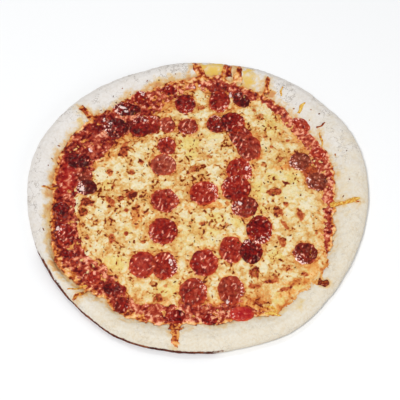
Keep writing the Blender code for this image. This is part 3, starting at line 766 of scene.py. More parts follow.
def make_crust(frame, finish, sauce_tree):
    """Dough with a rounded, wrinkled rim, flat below and under the toppings."""
    points, normals = crust_points(crust_profiles(tree_of(frame["nodes"]["crust"])))
    total = len(points)
    grid = np.arange(total).reshape(CRUST_SECTORS, CRUST_STATIONS)
    edge = points[grid[:, 0]]
    under = [edge * (share, share, 0) for share in UNDERSIDE_SHARES]
    top = (0, 0, points[grid[:, -1], 2].mean())
    everything = np.concatenate((points, *under, [(0, 0, 0), top]))
    rings = np.arange(total, total + CRUST_SECTORS * len(under)).reshape(-1, CRUST_SECTORS)
    highest = len(everything) - 1
    faces = shell_faces([*rings[::-1], *grid.T], highest - 1, highest)
    masks = {}
    for mask, values in crust_masks(points, normals, sauce_tree).items():
        rest = np.full(len(everything) - total, float(mask == "burnt_and_shadow"))
        masks[mask] = np.concatenate((values, rest))
    mesh = mesh_from("crust_dough", everything, faces, masks)
    return tree_of(add_piece(mesh, finish, ["crust"]))


# Sauce

def collar(points, share, variant):
    """How high toppings creep over the edges of the slices, and stand beside them."""
    near = step(share, 0.86, 1.0) * (1 - step(share, 1.05, 1.5))
    return near * (COLLAR_HEIGHT + COLLAR_UNEVENNESS * fractal(points, 5 * MM, 2, variant))


def run_depth(points):
    """How far each point is inside the nearest run of the sauce, negative outside."""
    depth = np.full(len(points), -1.0)
    for x, y, across, deep, turn in RUNS:
        share = oval_share(points, x, y, across, deep, turn)
        depth = np.maximum(depth, (1 - share) * min(across, deep) / 2 * MM)
    return depth


def sauce_masks(points, shaped):
    """How pale, orange and bright the sauce is at each point, and where highlights are painted on it.
    """
    mottle = fractal(points, 5.5 * MM, 3, 7) + 0.6 * waves(points, 2.6 * MM, 8)
    mottle += 0.5 * relief(points, SAUCE_RELIEF, 3) / MM
    tone = 0.05 + 0.85 * spread(mottle, shaped > 0) + 0.35 * (around(points, RING_CHEESE) - 0.5)
    tone *= 1 - 0.75 * patches(points, DARK_SAUCE, 0.5, 5)
    worn = shaped + 1.2 * MM * fractal(points, 6 * MM, 2, 4)
    edge = 1 - step(worn / around(points, OILY_EDGE) / MM, 0.2, 1.2)
    return {
        "tone": np.clip(tone, 0, 1),
        "orange": np.maximum(edge, patches(points, ORANGE_SAUCE, 0.6, 9)),
        "bright": patches(points, BRIGHT_SAUCE, 0.5, 6),
        "painted_glint": patches(points, PAINTED_GLINTS, 0.4, 41),
    }


def make_sauce(frame, finish, sauce_tree, crust_tree, slice_share):
    """The sauce lies on the baked crust and thins to nothing at its edge."""
    field = Field(SAUCE_STEP, 172 * MM)
    points = field.points
    crust_top = heights(crust_tree, points)
    runs = np.where(crust_top > RUN_LOWEST, run_depth(points), -1)
    shaped = np.maximum(field.depth_inside(sauce_tree) - SAUCE_INSET, runs)
    shaped += SAUCE_RAGGEDNESS * fractal(points, 5 * MM, 2, 1)
    node_low = field.grid(heights(sauce_tree, points, from_below=True))
    low = np.fmax(node_low, field.grid(crust_top) + 0.1 * MM)
    low = blurred(filled_in(low), 1).ravel()
    rise = SAUCE_THICKNESS + relief(points, SAUCE_RELIEF, 3)
    rise += collar(points, slice_share(points), 6)
    share = step(shaped, 0, SAUCE_EDGE_WIDTH)
    thickness = SAUCE_EDGE_THICKNESS + (rise - SAUCE_EDGE_THICKNESS) * share
    thickness = np.maximum(thickness, SAUCE_EDGE_THICKNESS)
    masks = sauce_masks(points, shaped)
    mesh = layer_mesh("tomato_sauce", field, shaped, low, thickness, masks)
    return tree_of(add_piece(mesh, finish, ["sauce"]))


# Cheese

def specks(points):
    """Small browned specks all over the cheese."""
    strength = np.zeros(len(points))
    clumps = 0.5 + 0.5 * fractal(points, 26 * MM, 2, 12)
    for number, (size, long, turn, share, dark) in enumerate(SPECK_LAYERS):
        along, across = turned(points, turn)
        stretched = np.column_stack((along, across * long, points[:, 2]))
        noise = waves(stretched, size, 20 + number) + 0.35 * (clumps - 0.5)
        strength = np.maximum(strength, dark * step(noise, 0.78 - share, 0.88 - share))
    return strength


def cheese_form(points, sauce_depth, covered):
    """The outline of the melted cheese, its lumps, and what steers both them and its colours."""
    form = SimpleNamespace(covered=covered, ragged=fractal(points, CHEESE_RAGGED_SIZE, 3, 9))
    form.inside = around(points, CHEESE_REACH) * MM - np.linalg.norm(points, axis=1)
    over = around(points, CHEESE_OVER) * MM
    shaped = np.minimum(form.inside, sauce_depth + over) + CHEESE_RAGGEDNESS * form.ragged
    bits = fractal(points, ISLAND_SIZE, 3, 11) - 0.75 + 0.45 * around(points, RING_CHEESE)
    on_ring = step(sauce_depth, 3 * MM, 9 * MM)
    form.shaped = np.maximum(shaped, ISLAND_HEIGHT * bits - 30 * MM * (1 - on_ring))
    form.edge_share = step(form.shaped, 0, CHEESE_EDGE_WIDTH)

    form.brown = patches(points, BROWN_SPOTS, 0.45, 10)
    form.white = patches(points, WHITE_CHEESE, 0.5, 21)
    form.speckled = around(points, SPECKLED)
    form.small = specks(points) * (1 - form.white) * form.speckled
    ridges = 1 - np.abs(fractal(points * (1, 0.8, 1), RIDGE_SIZE, 2, 14))
    shreds = 1 - np.abs(waves(points, SHRED_SIZE, 15))
    lumps = 0.8 * step(ridges, 0.35, 1.0) + 0.6 * step(shreds, 0.3, 1.0) - 0.8
    form.lumps = lumps + 0.3 * waves(points, 2.2 * MM, 16) - 0.5 * form.small
    return form


def cheese_masks(points, form):
    """How pale, orange, brown, speckled and yellow the cheese is at each point."""
    melted = step(form.inside + 6 * MM * form.ragged, 0, MELT_WIDTH)
    melted = around(points, MELTED) * (1 - melted)
    beside = 1 - step(form.covered + 0.22 * fractal(points, 5 * MM, 2, 18), 1.0, 1.35)
    channels = 1 - step(np.abs(fractal(points, CHANNEL_SIZE, 2, 27)), 0.0, 0.3)
    blobs = 0.6 * fractal(points, BLOB_SIZE, 2, 17) + 0.35 * form.lumps
    tone = blobs - 0.3 * beside - 0.6 * channels
    tone = 0.38 + 0.54 * spread(tone, (form.shaped > 0) & (form.covered > 1))
    tone += 0.8 * form.white * (1 - tone)
    orange = np.maximum(melted, patches(points, ORANGE_CHEESE, 0.6, 23))
    orange = np.maximum(orange, 0.75 * (1 - form.edge_share)) * (1 - 0.8 * form.white)
    baked = patches(points, BAKED_CHEESE, 0.6, 25)
    tone *= (1 - 0.88 * form.small) * (1 - 0.1 * orange) * (1 - 0.55 * baked)
    browned = 0.22 + 0.2 * fractal(points, 3.5 * MM, 2, 22)
    tone = tone * (1 - form.brown) + form.brown * browned
    return {
        "tone": np.clip(tone, 0, 1),
        "orange": np.maximum.reduce((orange, baked, 0.6 * beside, 0.4 * form.brown)),
        "brown": form.brown,
        "speckled": form.speckled,
        "yellow": patches(points, YELLOW_CHEESE, 0.5, 19),
    }


def make_cheese(frame, finish, crust_tree, sauce_tree, sauce_node, slice_share):
    """Melted shreds: pale ridges, oily yellow hollows, browned bubbles and specks."""
    field = Field(CHEESE_STEP, 150 * MM)
    points = field.points
    form = cheese_form(points, field.depth_inside(sauce_node), slice_share(points))
    lies_on = np.fmax(heights(sauce_tree, points), heights(crust_tree, points))
    sauce_top = blurred(filled_in(field.grid(lies_on)), 1).ravel()
    node_top = filled_in(field.grid(heights(tree_of(frame["nodes"]["cheese"]), points)))
    cells = round(FLAKE_WIDTH / 2 / field.spacing)
    bare_top = -lowest_near(-lowest_near(node_top, cells), cells)
    bare_top = blurred(bare_top, 1).ravel()
    node_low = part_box("cheese")[0].z
    low = np.minimum(np.maximum(sauce_top - 0.35 * MM, node_low), sauce_top - 0.1 * MM)

    free = step(form.covered, 0.95, 1.12)
    rise = bare_top - low + free * (CHEESE_LIFT * form.lumps + BUBBLE_LIFT * form.brown)
    rise += collar(points, form.covered, 18)
    thickness = CHEESE_EDGE_THICKNESS + (rise - CHEESE_EDGE_THICKNESS) * form.edge_share
    least = (sauce_top - low + CHEESE_COVER) * step(form.shaped, 0, CHEESE_EDGE_WIDTH / 2)
    thickness = np.maximum(np.maximum(thickness, least), CHEESE_EDGE_THICKNESS)
    masks = cheese_masks(points, form)
    mesh = layer_mesh("melted_cheese", field, form.shaped, low, thickness, masks)
    piece = add_piece(mesh, finish, ["cheese"])
    return tree_of(piece), node_top, bare_top, field


# Pepperoni

def slice_outline(node, number):
    """The middle of a slice in plan and its outline, as a radius for each sector."""
    places = np.array([vert.co[:] for vert in node.data.vertices])
    middle = (places.min(axis=0) + places.max(axis=0))[:2] / 2
    offset = places[:, :2] - middle
    radius = np.linalg.norm(offset, axis=1)
    outer = radius > 0.48 * radius.max()
    angle = np.round(np.degrees(np.arctan2(offset[outer, 1], offset[outer, 0])), 1) % 360
    angles, first = np.unique(angle, return_index=True)
    turns = np.linspace(0, 360, SLICE_SECTORS, endpoint=False)
    shape = np.interp(turns, angles, radius[outer][first], period=360)
    turns = np.radians(turns)
    own = np.column_stack((np.cos(turns), np.sin(turns), np.full(SLICE_SECTORS, 3.0 * number)))
    wobble = SLICE_SPREAD + 0.05 * waves(own * 1.6, 1.0, 3) + 0.04 * waves(own * 4.5, 1.0, 4)
    return middle, smoothed_round(shape, OUTLINE_KERNEL) * wobble


def slice_finder(outlines):
    """A function for how far points are from the nearest slice: under 1 is below it in plan."""

    def nearest(points):
        share = np.full(len(points), 9.0)
        for middle, radii in outlines:
            offset = points[:, :2] - middle
            far = np.linalg.norm(offset, axis=1)
            close = far < 3 * radii.max()
            sector = np.degrees(np.arctan2(offset[close, 1], offset[close, 0])) / 360 * SLICE_SECTORS
            radius = np.interp(sector, np.arange(SLICE_SECTORS), radii, period=SLICE_SECTORS)
            share[close] = np.minimum(share[close], far[close] / radius)
        return share

    return nearest


def probe(tree, points):
    """Heights on a slice, averaged over a small neighbourhood so that its facets don't show."""
    shifts = np.array(((0, 0, 0), (1, 0, 0), (-1, 0, 0), (0, 1, 0), (0, -1, 0))) * PROBE_SPACING
    found = np.array([heights(tree, points + shift) for shift in shifts])
    known = ~np.isnan(found)
    total = np.where(known, found, 0).sum(axis=0)
    average = np.where(known.any(axis=0), total / np.maximum(known.sum(axis=0), 1), np.nan)
    return np.where(np.isnan(average), np.nanmean(average), average)


def slice_masks(points, share, middle, size, number, look):
    """How dark and brown a slice is, how greasy, and where glints and highlights are painted on it.
    """
    dark, brown, grease_sheen, side = look
    towards_sheen = turned((points[:, :2] - middle) / size, side)[0]
    seeded = points + (0, 0, 0.02 * number)
    mottle = fractal(seeded, 4.5 * MM, 3, 30) + 0.6 * waves(seeded, 2.2 * MM, 31)
    # The tone is painted a little lighter towards the greasy side: a painted highlight.
    tone = 0.60 - 0.55 * dark + 0.22 * mottle + 0.08 * towards_sheen
    return {
        "tone": np.clip(tone, 0, 1),
        "fat": np.full(len(points), float(number not in SMOOTH_SLICES)),
        "brown": np.clip(brown + 0.25 * fractal(seeded, 7 * MM, 2, 33) * (brown > 0), 0, 1),
        "grease_sheen": grease_sheen * step(towards_sheen + 0.35 * mottle, 0.0, 1.0),
        "rim": step(share + 0.12 * mottle, 0.78, 1.02),
        "painted_glint": patches(points, PAINTED_GLINTS, 0.4, 41),
    }


def make_slice(node, finish, number, look, outline, ground):
    """One slice: a thin disc that lies on the toppings, with a rounded, curled edge."""
    middle, radii = outline
    turns = np.linspace(0, 2 * math.pi, SLICE_SECTORS, endpoint=False)
    unit = np.column_stack((np.cos(turns), np.sin(turns)))
    shares = np.sin(np.linspace(0, math.pi / 2, SLICE_RINGS + 1)[1:])
    plan = [middle + unit * (radii * share)[:, None] for share in shares]
    plan = np.concatenate((middle[None], *plan))
    share = np.concatenate(([0.0], np.repeat(shares, SLICE_SECTORS)))
    points = np.column_stack((plan, np.zeros(len(plan))))
    inner = np.column_stack((middle + (plan - middle) * PROBE_SHARE, np.zeros(len(plan))))
    lies_on = ground(points)
    rough = relief(points + (0, 0, 0.01 * number), SLICE_RELIEF, 7)
    edge = step(share, 0.78, 1.0)

    high = points.copy()
    bends = probe(tree_of(node), inner) - lies_on - SLICE_STANDS
    high[:, 2] = lies_on + SLICE_SHOWS + SLICE_KEEPS * bends
    low = high[-SLICE_SECTORS:] - (0, 0, SLICE_THICKNESS)
    high[:, 2] += rough * (1 - 0.5 * edge) - SLICE_EDGE_ROUND * edge**2
    centre = high[:1] - (0, 0, SLICE_THICKNESS)
    everything = np.concatenate((high, low, centre))
    rings = np.arange(1, len(everything) - 1).reshape(-1, SLICE_SECTORS)
    faces = shell_faces(rings[::-1], len(everything) - 1, 0)
    share = np.concatenate((share, np.ones(SLICE_SECTORS), [0.0]))
    masks = slice_masks(everything, share, middle, radii.mean(), number, look)
    mesh = mesh_from(f"pepperoni_slice_{number:02}", everything, faces, masks)
    return tree_of(add_piece(mesh, finish, [node.name]))


def ground_finder(frame, field, bare_top):
    """A function for the height of the bare cheese or sauce under each point."""
    level = field.grid(heights(tree_of(frame["nodes"]["sauce"]), field.points))
    over_cheese = ~np.isnan(field.grid(heights(tree_of(frame["nodes"]["cheese"]), field.points)))
    level = filled_in(np.where(over_cheese, field.grid(bare_top), level))
    level = blurred(level, 2)
    return lambda points: field.sample(level, points)


# Scattered things

def top_finder(trees):
    """A function that gives the height and slope of the highest piece at a place."""

    def find(x, y):
        hits = [tree.ray_cast(Vector((x, y, SKY)), Vector((0, 0, -1)))[:2] for tree in trees]
        hits = [hit for hit in hits if hit[0] is not None]
        return max(hits, key=lambda hit: hit[0].z) if hits else None

    return find


def flake_shape(length, width, draw):
    """A curled leaf scrap: a bent strip of three quads with both faces and an edge."""
    lower = []
    bend = draw.uniform(-0.5, 0.9) * HERB_THICKNESS * 2
    for along in np.linspace(-0.5, 0.5, HERB_STATIONS):
        belly = 1 - (2 * along) ** 2
        half = width / 2 * (0.25 + 0.75 * belly) * draw.uniform(0.75, 1.15)
        for side in (-1, 1):
            curl = draw.uniform(-0.1, 0.1) * width
            lower.append((along * length, side * half, bend * belly + curl))
    lower = np.array(lower)
    count = len(lower)
    outline = [*range(0, count, 2), *range(count - 1, 0, -2)]
    strip = [(corner + 1, corner + 3, corner + 2, corner) for corner in range(0, count - 2, 2)]
    faces = strip + [tuple(corner + count for corner in quad[::-1]) for quad in strip]
    for here, after in zip(outline, outline[1:] + outline[:1]):
        faces.append((here, after, after + count, here + count))
    return np.concatenate((lower, lower + (0, 0, HERB_THICKNESS))), faces


def place_on(points, hit, normal, turn, sink):
    """Points of a small thing, turned, tilted to the slope below it and set down there."""
    tilt = Vector((0, 0, 1)).rotation_difference(normal).to_matrix()
    rotation = np.array(tilt @ Matrix.Rotation(turn, 3, "Z"))
    return points @ rotation.T + np.array(hit) - np.array(normal) * sink


def node_flakes(node_top, bare_top, field):
    """The places of the flakes that are fused to the cheese node: small peaks over the bare layer."""
    rise = node_top - field.grid(bare_top)
    highest = -lowest_near(-rise, 3)
    peaks = np.argwhere((rise >= highest) & (rise > 0.35 * MM))
    return (peaks[:, ::-1] - field.count // 2) * field.spacing


def herb_places(frame, field, baked_in, draw):
    """Where each flake lies, and whether it is one of the large ones that the node has."""
    depth = field.grid(field.depth_inside(tree_of(frame["nodes"]["cheese"])))
    places = [(x, y, True) for x, y in baked_in]
    places += [(x * MM, y * MM, False) for x, y in CRUST_HERBS]
    while len(places) < HERB_COUNT:
        x, y = draw.uniform(-HERB_REACH, HERB_REACH, 2)
        row, column = (round(value / field.spacing) + field.count // 2 for value in (y, x))
        if depth[row, column] > draw.uniform(-14, 6) * MM:
            places.append((x, y, False))
    return places


def make_herbs(finish, find, places, draw):
    """Dried herb flakes, one joined mesh: those of the cheese node, and many finer ones."""
    points, faces, shades = [], [], []
    count = 0
    shortest, longest = HERB_LENGTH
    for x, y, large in places:
        found = find(x, y)
        if found is None:
            continue
        length = longest if large else shortest + draw.random() ** 2 * (longest - shortest)
        width = HERB_WIDTH[1] if large else draw.uniform(*HERB_WIDTH)
        shape, quads = flake_shape(length, width, draw)
        points.append(place_on(shape, *found, draw.uniform(0, 2 * math.pi), 0.1 * MM))
        faces += [tuple(corner + count for corner in quad) for quad in quads]
        shades.append(np.full(len(shape), draw.random()))
        count += len(shape)
    mesh = mesh_from("herb_flakes", np.concatenate(points), faces, {"shade": np.concatenate(shades)})
    add_piece(mesh, finish)


def strand_points(start, end, width, phase, find):
    """The corners of one strand, ring by ring, laid over what is under it."""
    length = np.linalg.norm(end - start)
    side = np.array((start[1] - end[1], end[0] - start[0])) / length
    points = []
    for share in np.linspace(0, 1, max(6, round(length / STRAND_STEP))):
        taper = math.sqrt(max(0.0, 1 - (1.5 * abs(share - 0.35)) ** 4))
        half = width / 2 * taper * (1 + 0.2 * math.sin(9 * share + phase))
        wander = STRAND_WANDER * math.sin(phase + 7 * share)
        for angle in 2 * math.pi * np.arange(STRAND_SIDES) / STRAND_SIDES:
            x, y = start + (end - start) * share + side * (wander + half * math.cos(angle))
            found = find(x, y)
            height = found[0].z if found else 0.0
            points.append((x, y, height + min(0.8 * half, STRAND_HEIGHT) * math.sin(angle)))
    return points


def make_strands(finish, find, draw):
    """Thin melted strands on the crust, each a tapering, wandering tube that is half sunk in."""
    points, faces, tones = [], [], []
    for start, end, width, pale in STRANDS:
        start, end = np.array(start) * MM, np.array(end) * MM
        strand = strand_points(start, end, width * MM, draw.uniform(0, 6), find)
        rings = len(points) + np.arange(len(strand)).reshape(-1, STRAND_SIDES)
        faces += [*ring_faces(rings), rings[0][::-1], rings[-1]]
        points += strand
        tones += [pale] * len(strand)
    mesh = mesh_from("melted_strands", points, faces, {"tone": tones})
    add_piece(mesh, finish)


# Materials

def srgb(colour):
    """A linear colour from the 0 to 255 values that it has on a screen."""
    shares = [value / 255 for value in colour]
    linear = [
        share / 12.92 if share <= 0.04045 else ((share + 0.055) / 1.055) ** 2.4 for share in shares
    ]
    return (*linear, 1.0)


class Finish:
    """A node material, built up step by step. Its colour is painted in layers."""

    def __init__(self, name):
        self.material = bpy.data.materials.new(name)
        self.material.use_nodes = True
        self.nodes = self.material.node_tree.nodes
        self.links = self.material.node_tree.links
        self.shader = self.nodes["Principled BSDF"]
        self.place = self.nodes.new("ShaderNodeTexCoord").outputs["Object"]
        self.colour = None

    def put(self, value, socket):
        if isinstance(value, bpy.types.NodeSocket):
            self.links.new(value, socket)
        else:
            socket.default_value = value

    def mask(self, name):
        node = self.nodes.new("ShaderNodeAttribute")
        node.attribute_name = name
        return node.outputs["Fac"]

    def noise(self, size, detail=2.0, roughness=0.55, turn=0.0, long=1.0):
        """Noise of some size, which may be drawn out along one way."""
        place = self.nodes.new("ShaderNodeMapping")
        place.vector_type = "TEXTURE"
        place.inputs["Rotation"].default_value = (0, 0, math.radians(turn))
        place.inputs["Scale"].default_value = (long, 1, 1)
        self.links.new(self.place, place.inputs["Vector"])
        node = self.nodes.new("ShaderNodeTexNoise")
        self.links.new(place.outputs["Vector"], node.inputs["Vector"])
        node.inputs["Scale"].default_value = 1 / size
        node.inputs["Detail"].default_value = detail
        node.inputs["Roughness"].default_value = roughness
        return node.outputs["Fac"]

    def between(self, value, low, high, start=0.0, end=1.0):
        """Start below low, end above high, and smooth between them."""
        node = self.nodes.new("ShaderNodeMapRange")
        node.interpolation_type = "SMOOTHSTEP"
        self.put(value, node.inputs["Value"])
        node.inputs["From Min"].default_value = low
        node.inputs["From Max"].default_value = high
        node.inputs["To Min"].default_value = start
        node.inputs["To Max"].default_value = end
        return node.outputs["Result"]

    def calculate(self, operation, first, second=0.0):
        node = self.nodes.new("ShaderNodeMath")
        node.operation = operation
        node.use_clamp = operation != "SUBTRACT"
        self.put(first, node.inputs[0])
        self.put(second, node.inputs[1])
        return node.outputs[0]

    def times(self, value, *factors):
        for factor in factors:
            value = self.calculate("MULTIPLY", value, factor)
        return value

    def plus(self, value, more):
        return self.calculate("ADD", value, more)

    def minus(self, value, *parts):
        for part in parts:
            value = self.calculate("SUBTRACT", value, part)
        return value

    def varied(self, value, size, amount):
        """A value made to vary finely up and down."""
        return self.plus(value, self.between(self.noise(size, 1.5), 0.35, 0.65, -amount, amount))

    def ramp(self, value, stops):
        """A colour for each value, through stops of a position and a screen colour."""
        node = self.nodes.new("ShaderNodeValToRGB")
        self.put(value, node.inputs["Fac"])
        elements = node.color_ramp.elements
        while len(elements) < len(stops):
            elements.new(0.5)
        for element, (position, _) in zip(elements, stops):
            element.position = position
        for element, (_, colour) in zip(elements, stops):
            element.color = srgb(colour)
        return node.outputs["Color"]

    def paint(self, share, colour):
        """Covers a share of the colour so far with another one, a socket or a screen colour."""
        node = self.nodes.new("ShaderNodeMix")
        node.data_type = "RGBA"
        self.put(share, node.inputs["Factor"])
        below, above = (socket for socket in node.inputs if socket.type == "RGBA")
        self.put(self.colour, below)
        self.put(srgb(colour) if isinstance(colour, tuple) else colour, above)
        self.colour = next(socket for socket in node.outputs if socket.type == "RGBA")

    def paint_glints(self):
        """Painted highlights: white glints painted over the colour so far."""
        painted_glint = self.varied(self.mask("painted_glint"), 2 * MM, 0.25)
        self.paint(self.between(painted_glint, 0.35, 0.8, 0, 0.8), PAINTED_GLINT_COLOUR)

    def bump(self, distance, size, detail=2.0, roughness=0.55):
        node = self.nodes.new("ShaderNodeBump")
        node.inputs["Distance"].default_value = distance
        self.put(self.noise(size, detail, roughness), node.inputs["Height"])
        self.links.new(node.outputs["Normal"], self.shader.inputs["Normal"])

    def done(self, **values):
        """The material, with the painted colour and plain values on the shader's own sockets."""
        self.put(self.colour, self.shader.inputs["Base Color"])
        for name, value in values.items():
            self.shader.inputs[name.replace("_", " ")].default_value = value
        return self.material


def crust_finish():
    """Pale dough: fine cracks and a burnt edge, both with painted shade, grains, stains beside the
    sauce, oil.
    """
    finish = Finish("baked_dough")
    broad = finish.between(finish.noise(15 * MM, 5, 0.6), 0.3, 0.7, 0.45, 0.85)
    tone = finish.varied(broad, 2.2 * MM, 0.25)
    warm = finish.mask("warm")
    finish.colour = finish.ramp(tone, COOL_CRUST)
    finish.paint(warm, finish.ramp(tone, WARM_CRUST))
    # Fine cracks drawn as dark lines, which also paint in the shade inside them.
    crack_shade_lines = finish.calculate("ABSOLUTE", finish.minus(finish.noise(13 * MM, 6, 0.62), 0.5))
    crack_shade_lines = finish.between(crack_shade_lines, 0.0, 0.018, 1, 0)
    where = finish.between(finish.noise(22 * MM, 1), 0.44, 0.58)
    finish.paint(finish.times(crack_shade_lines, where, finish.between(warm, 0, 1, 0.7, 0.25)), CRACK_SHADE_COLOUR)
    grains = finish.between(finish.noise(1.5 * MM, 2), 0.60, 0.68)
    finish.paint(finish.times(grains, finish.mask("outer"), 0.6), GRAIN_COLOUR)
    stain = finish.varied(finish.mask("stain"), 4 * MM, 0.13)
    finish.paint(finish.between(stain, 0.12, 0.75, 0, 0.9), finish.ramp(stain, STAINED_CRUST))
    oil = finish.times(finish.mask("oil"), finish.noise(7 * MM, 4))
    finish.paint(finish.between(oil, 0.12, 0.55, 0, 0.95), OIL_COLOUR)
    # The burnt lower edge, darker too where the painted contact shadow lies under the rim.
    burnt_and_shadow = finish.between(finish.varied(finish.mask("burnt_and_shadow"), 3 * MM, 0.2), 0.2, 0.8)
    finish.paint(burnt_and_shadow, finish.ramp(finish.noise(6 * MM, 4, 0.6), BURNT_AND_SHADOW_COLOURS))
    finish.bump(0.3 * MM, 1.6 * MM, 4, 0.65)
    return finish.done(Roughness=0.85, Specular_IOR_Level=0.15)


def sauce_finish():
    """Wet red sauce, bright or orange in places, with pale flecks and glints that are painted
    highlights.
    """
    finish = Finish("tomato_sauce")
    tone = finish.varied(finish.mask("tone"), 3.0 * MM, 0.2)
    finish.colour = finish.ramp(tone, SAUCE_COLOURS)
    finish.paint(finish.times(finish.mask("bright"), 0.45), BRIGHT_SAUCE_COLOUR)
    orange = finish.varied(finish.mask("orange"), 3 * MM, 0.25)
    finish.paint(finish.between(orange, 0.15, 0.95, 0, 0.85), finish.ramp(tone, MELTED_COLOURS))
    # Pale flecks where the sauce is lighter: painted highlights.
    highlight_flecks = finish.between(finish.noise(2.1 * MM, 0.5, 0.5, 40, 1.5), 0.64, 0.70)
    finish.paint(finish.times(highlight_flecks, finish.between(tone, 0.2, 0.65, 0.0, 0.85)), SAUCE_HIGHLIGHT_COLOUR)
    finish.paint_glints()
    finish.bump(0.7 * MM, 2.6 * MM, 1, 0.5)
    return finish.done(**WET)


def speck_depth(finish, size, turn, long, clumps):
    """How deep a scattered, drawn-out speck is: a dark core in a paler halo."""
    noise = finish.plus(finish.noise(size, 0.5, 0.5, turn, long), clumps)
    halo = finish.between(noise, 0.64, 0.74, 0, 0.24)
    return finish.plus(halo, finish.between(noise, 0.72, 0.78, 0, 0.28))


def cheese_finish():
    """Cheese from cream to tan, with brown specks and bubbles, yellow and orange where oily."""
    finish = Finish("melted_cheese")
    plain = finish.varied(finish.mask("tone"), 2.2 * MM, 0.09)
    orange = finish.mask("orange")
    clumps = finish.minus(
        finish.between(finish.noise(24 * MM, 1), 0.35, 0.65, 0, 0.08),
        finish.between(plain, 0.7, 0.95, 0, 0.1),
        finish.between(orange, 0.3, 1.0, 0, 0.03),
        finish.between(finish.mask("speckled"), 0, 1, 0.06, 0),
    )
    speckle = [speck_depth(finish, *layer, clumps) for layer in CHEESE_SPECKS]
    tone = finish.minus(plain, *speckle)
    finish.colour = finish.ramp(tone, CHEESE_COLOURS)
    yellow = finish.times(finish.mask("yellow"), finish.between(tone, 0.15, 0.5, 0, 0.7))
    finish.paint(yellow, YELLOW_COLOUR)
    orange = finish.between(finish.varied(orange, 3 * MM, 0.2), 0.1, 1.0, 0, 0.95)
    finish.paint(orange, finish.ramp(tone, MELTED_COLOURS))
    brown = finish.between(finish.varied(finish.mask("brown"), 3 * MM, 0.15), 0.3, 0.75, 0, 0.92)
    finish.paint(brown, finish.ramp(tone, SPOT_COLOURS))
    finish.bump(0.7 * MM, 2.0 * MM, 2, 0.5)
    return finish.done(
        Roughness=0.18,
        Specular_IOR_Level=0.14,
        Specular_Tint=(1.0, 0.9, 0.7, 1.0),
        Subsurface_Weight=0.06,
        Subsurface_Scale=1.0 * MM,
    )


def pepperoni_finish():
    """Mottled red or brown slices, orange rims, dark pits, and fat and grease partly painted as
    glints.
    """
    finish = Finish("pepperoni")
    tone = finish.varied(finish.mask("tone"), 3.0 * MM, 0.12)
    mottled = finish.mask("fat")
    finish.colour = finish.ramp(tone, PEPPERONI_COLOURS)
    finish.paint(finish.mask("brown"), finish.ramp(tone, BROWN_SLICE_COLOURS))
    finish.paint(finish.between(mottled, 0, 1, 0.45, 0), SMOOTH_SLICE_COLOUR)
    rim = finish.times(finish.mask("rim"), finish.between(tone, 0.15, 0.5, 0.1, 0.7))
    finish.paint(rim, RIM_COLOUR)
    # Pale dots of fat, partly painted glints, and dark pits among them.
    dots = finish.noise(2.3 * MM, 0, 0.5, 65, 1.7)
    strength = finish.between(tone, 0.0, 0.45, 0.1, 0.85)
    finish.paint(finish.times(finish.between(dots, 0.66, 0.76), strength, mottled), FAT_AND_GLINT_COLOUR)
    finish.paint(finish.times(finish.between(dots, 0.34, 0.26, 0, 0.45), mottled), PIT_COLOUR)
    # Pale grease on one side of the slice, partly a painted highlight.
    grease_sheen = finish.times(finish.mask("grease_sheen"), 0.16)
    pale = finish.between(finish.plus(finish.noise(2.0 * MM, 1, 0.5), grease_sheen), 0.64, 0.72)
    finish.paint(finish.times(pale, finish.between(grease_sheen, 0.02, 0.08)), GREASE_SHEEN_COLOUR)
    finish.paint_glints()
    finish.bump(0.6 * MM, 2.6 * MM, 1, 0.5)
    return finish.done(**WET)


def herb_finish():
    finish = Finish("dried_herb")
    finish.colour = finish.ramp(finish.mask("shade"), HERB_COLOURS)
    return finish.done(Roughness=0.9, Specular_IOR_Level=0.0)


def strand_finish():
    finish = Finish("melted_strand")
    finish.colour = finish.ramp(finish.varied(finish.mask("tone"), 2 * MM, 0.25), STRAND_COLOURS)
    finish.bump(0.3 * MM, 1.6 * MM)
    return finish.done(**WET)


# Stage

def add_light(name, place, size, power):
    """A round light that shines on the middle of the pizza."""
    light = bpy.data.lights.new(name, "AREA")
    light.shape = "DISK"
    light.size = size
    light.energy = power
    lamp = bpy.data.objects.new(name, light)
    lamp.location = place
    lamp.rotation_euler = (-Vector(place)).to_track_quat("-Z", "Y").to_euler()
    bpy.context.scene.collection.objects.link(lamp)


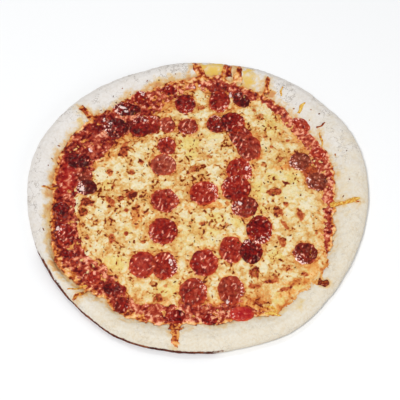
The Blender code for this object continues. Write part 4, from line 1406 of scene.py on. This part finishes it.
def make_stage():
    """A white floor, soft light from the front left, and a bright room."""
    mesh = bpy.data.meshes.new("floor")
    corners = [(x * FLOOR_HALF, y * FLOOR_HALF, 0) for x, y in ((-1, -1), (1, -1), (1, 1), (-1, 1))]
    mesh.from_pydata(corners, [], [(0, 1, 2, 3)])
    floor = bpy.data.objects.new("floor", mesh)
    bpy.context.scene.collection.objects.link(floor)
    white = bpy.data.materials.new("floor_white")
    white.use_nodes = True
    shader = white.node_tree.nodes["Principled BSDF"]
    shader.inputs["Base Color"].default_value = FLOOR_COLOUR
    shader.inputs["Roughness"].default_value = 0.9
    mesh.materials.append(white)
    for light in LIGHTS:
        add_light(*light)
    world = bpy.data.worlds.new("room")
    world.use_nodes = True
    world.node_tree.nodes["Background"].inputs["Color"].default_value = ROOM_COLOUR
    world.node_tree.nodes["Background"].inputs["Strength"].default_value = ROOM_STRENGTH
    bpy.context.scene.world = world


def make_camera():
    turn = math.radians(CAMERA_ELEVATION)
    back = Vector((0, -math.cos(turn), math.sin(turn)))
    camera = bpy.data.objects.new("camera", bpy.data.cameras.new("camera"))
    camera.location = Vector(CAMERA_AIM) + back * CAMERA_DISTANCE
    camera.rotation_euler = (-back).to_track_quat("-Z", "Y").to_euler()
    camera.data.lens = CAMERA_LENS
    camera.data.clip_start = 0.01
    bpy.context.scene.collection.objects.link(camera)
    bpy.context.scene.camera = camera


def main():
    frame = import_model()
    make_camera()
    make_stage()
    bpy.context.scene.view_settings.view_transform = "Standard"
    draw = np.random.default_rng(SEED)

    sauce_node = tree_of(frame["nodes"]["sauce"])
    numbers = range(1, len(SLICE_LOOKS) + 1)
    slice_nodes = [frame["nodes"][f"pepperoni_{number:02}"] for number in numbers]
    outlines = [slice_outline(*numbered) for numbered in zip(slice_nodes, numbers)]
    slice_share = slice_finder(outlines)
    crust_tree = make_crust(frame, crust_finish(), sauce_node)
    sauce_tree = make_sauce(frame, sauce_finish(), sauce_node, crust_tree, slice_share)
    cheese_tree, node_top, bare_top, field = make_cheese(
        frame, cheese_finish(), crust_tree, sauce_tree, sauce_node, slice_share
    )
    finish = pepperoni_finish()
    ground = ground_finder(frame, field, bare_top)
    slice_trees = [
        make_slice(node, finish, number, look, outline, ground)
        for node, number, look, outline in zip(slice_nodes, numbers, SLICE_LOOKS, outlines)
    ]
    layers = [crust_tree, sauce_tree, cheese_tree]
    places = herb_places(frame, field, node_flakes(node_top, bare_top, field), draw)
    make_herbs(herb_finish(), top_finder(layers + slice_trees), places, draw)
    make_strands(strand_finish(), top_finder(layers), draw)


main()
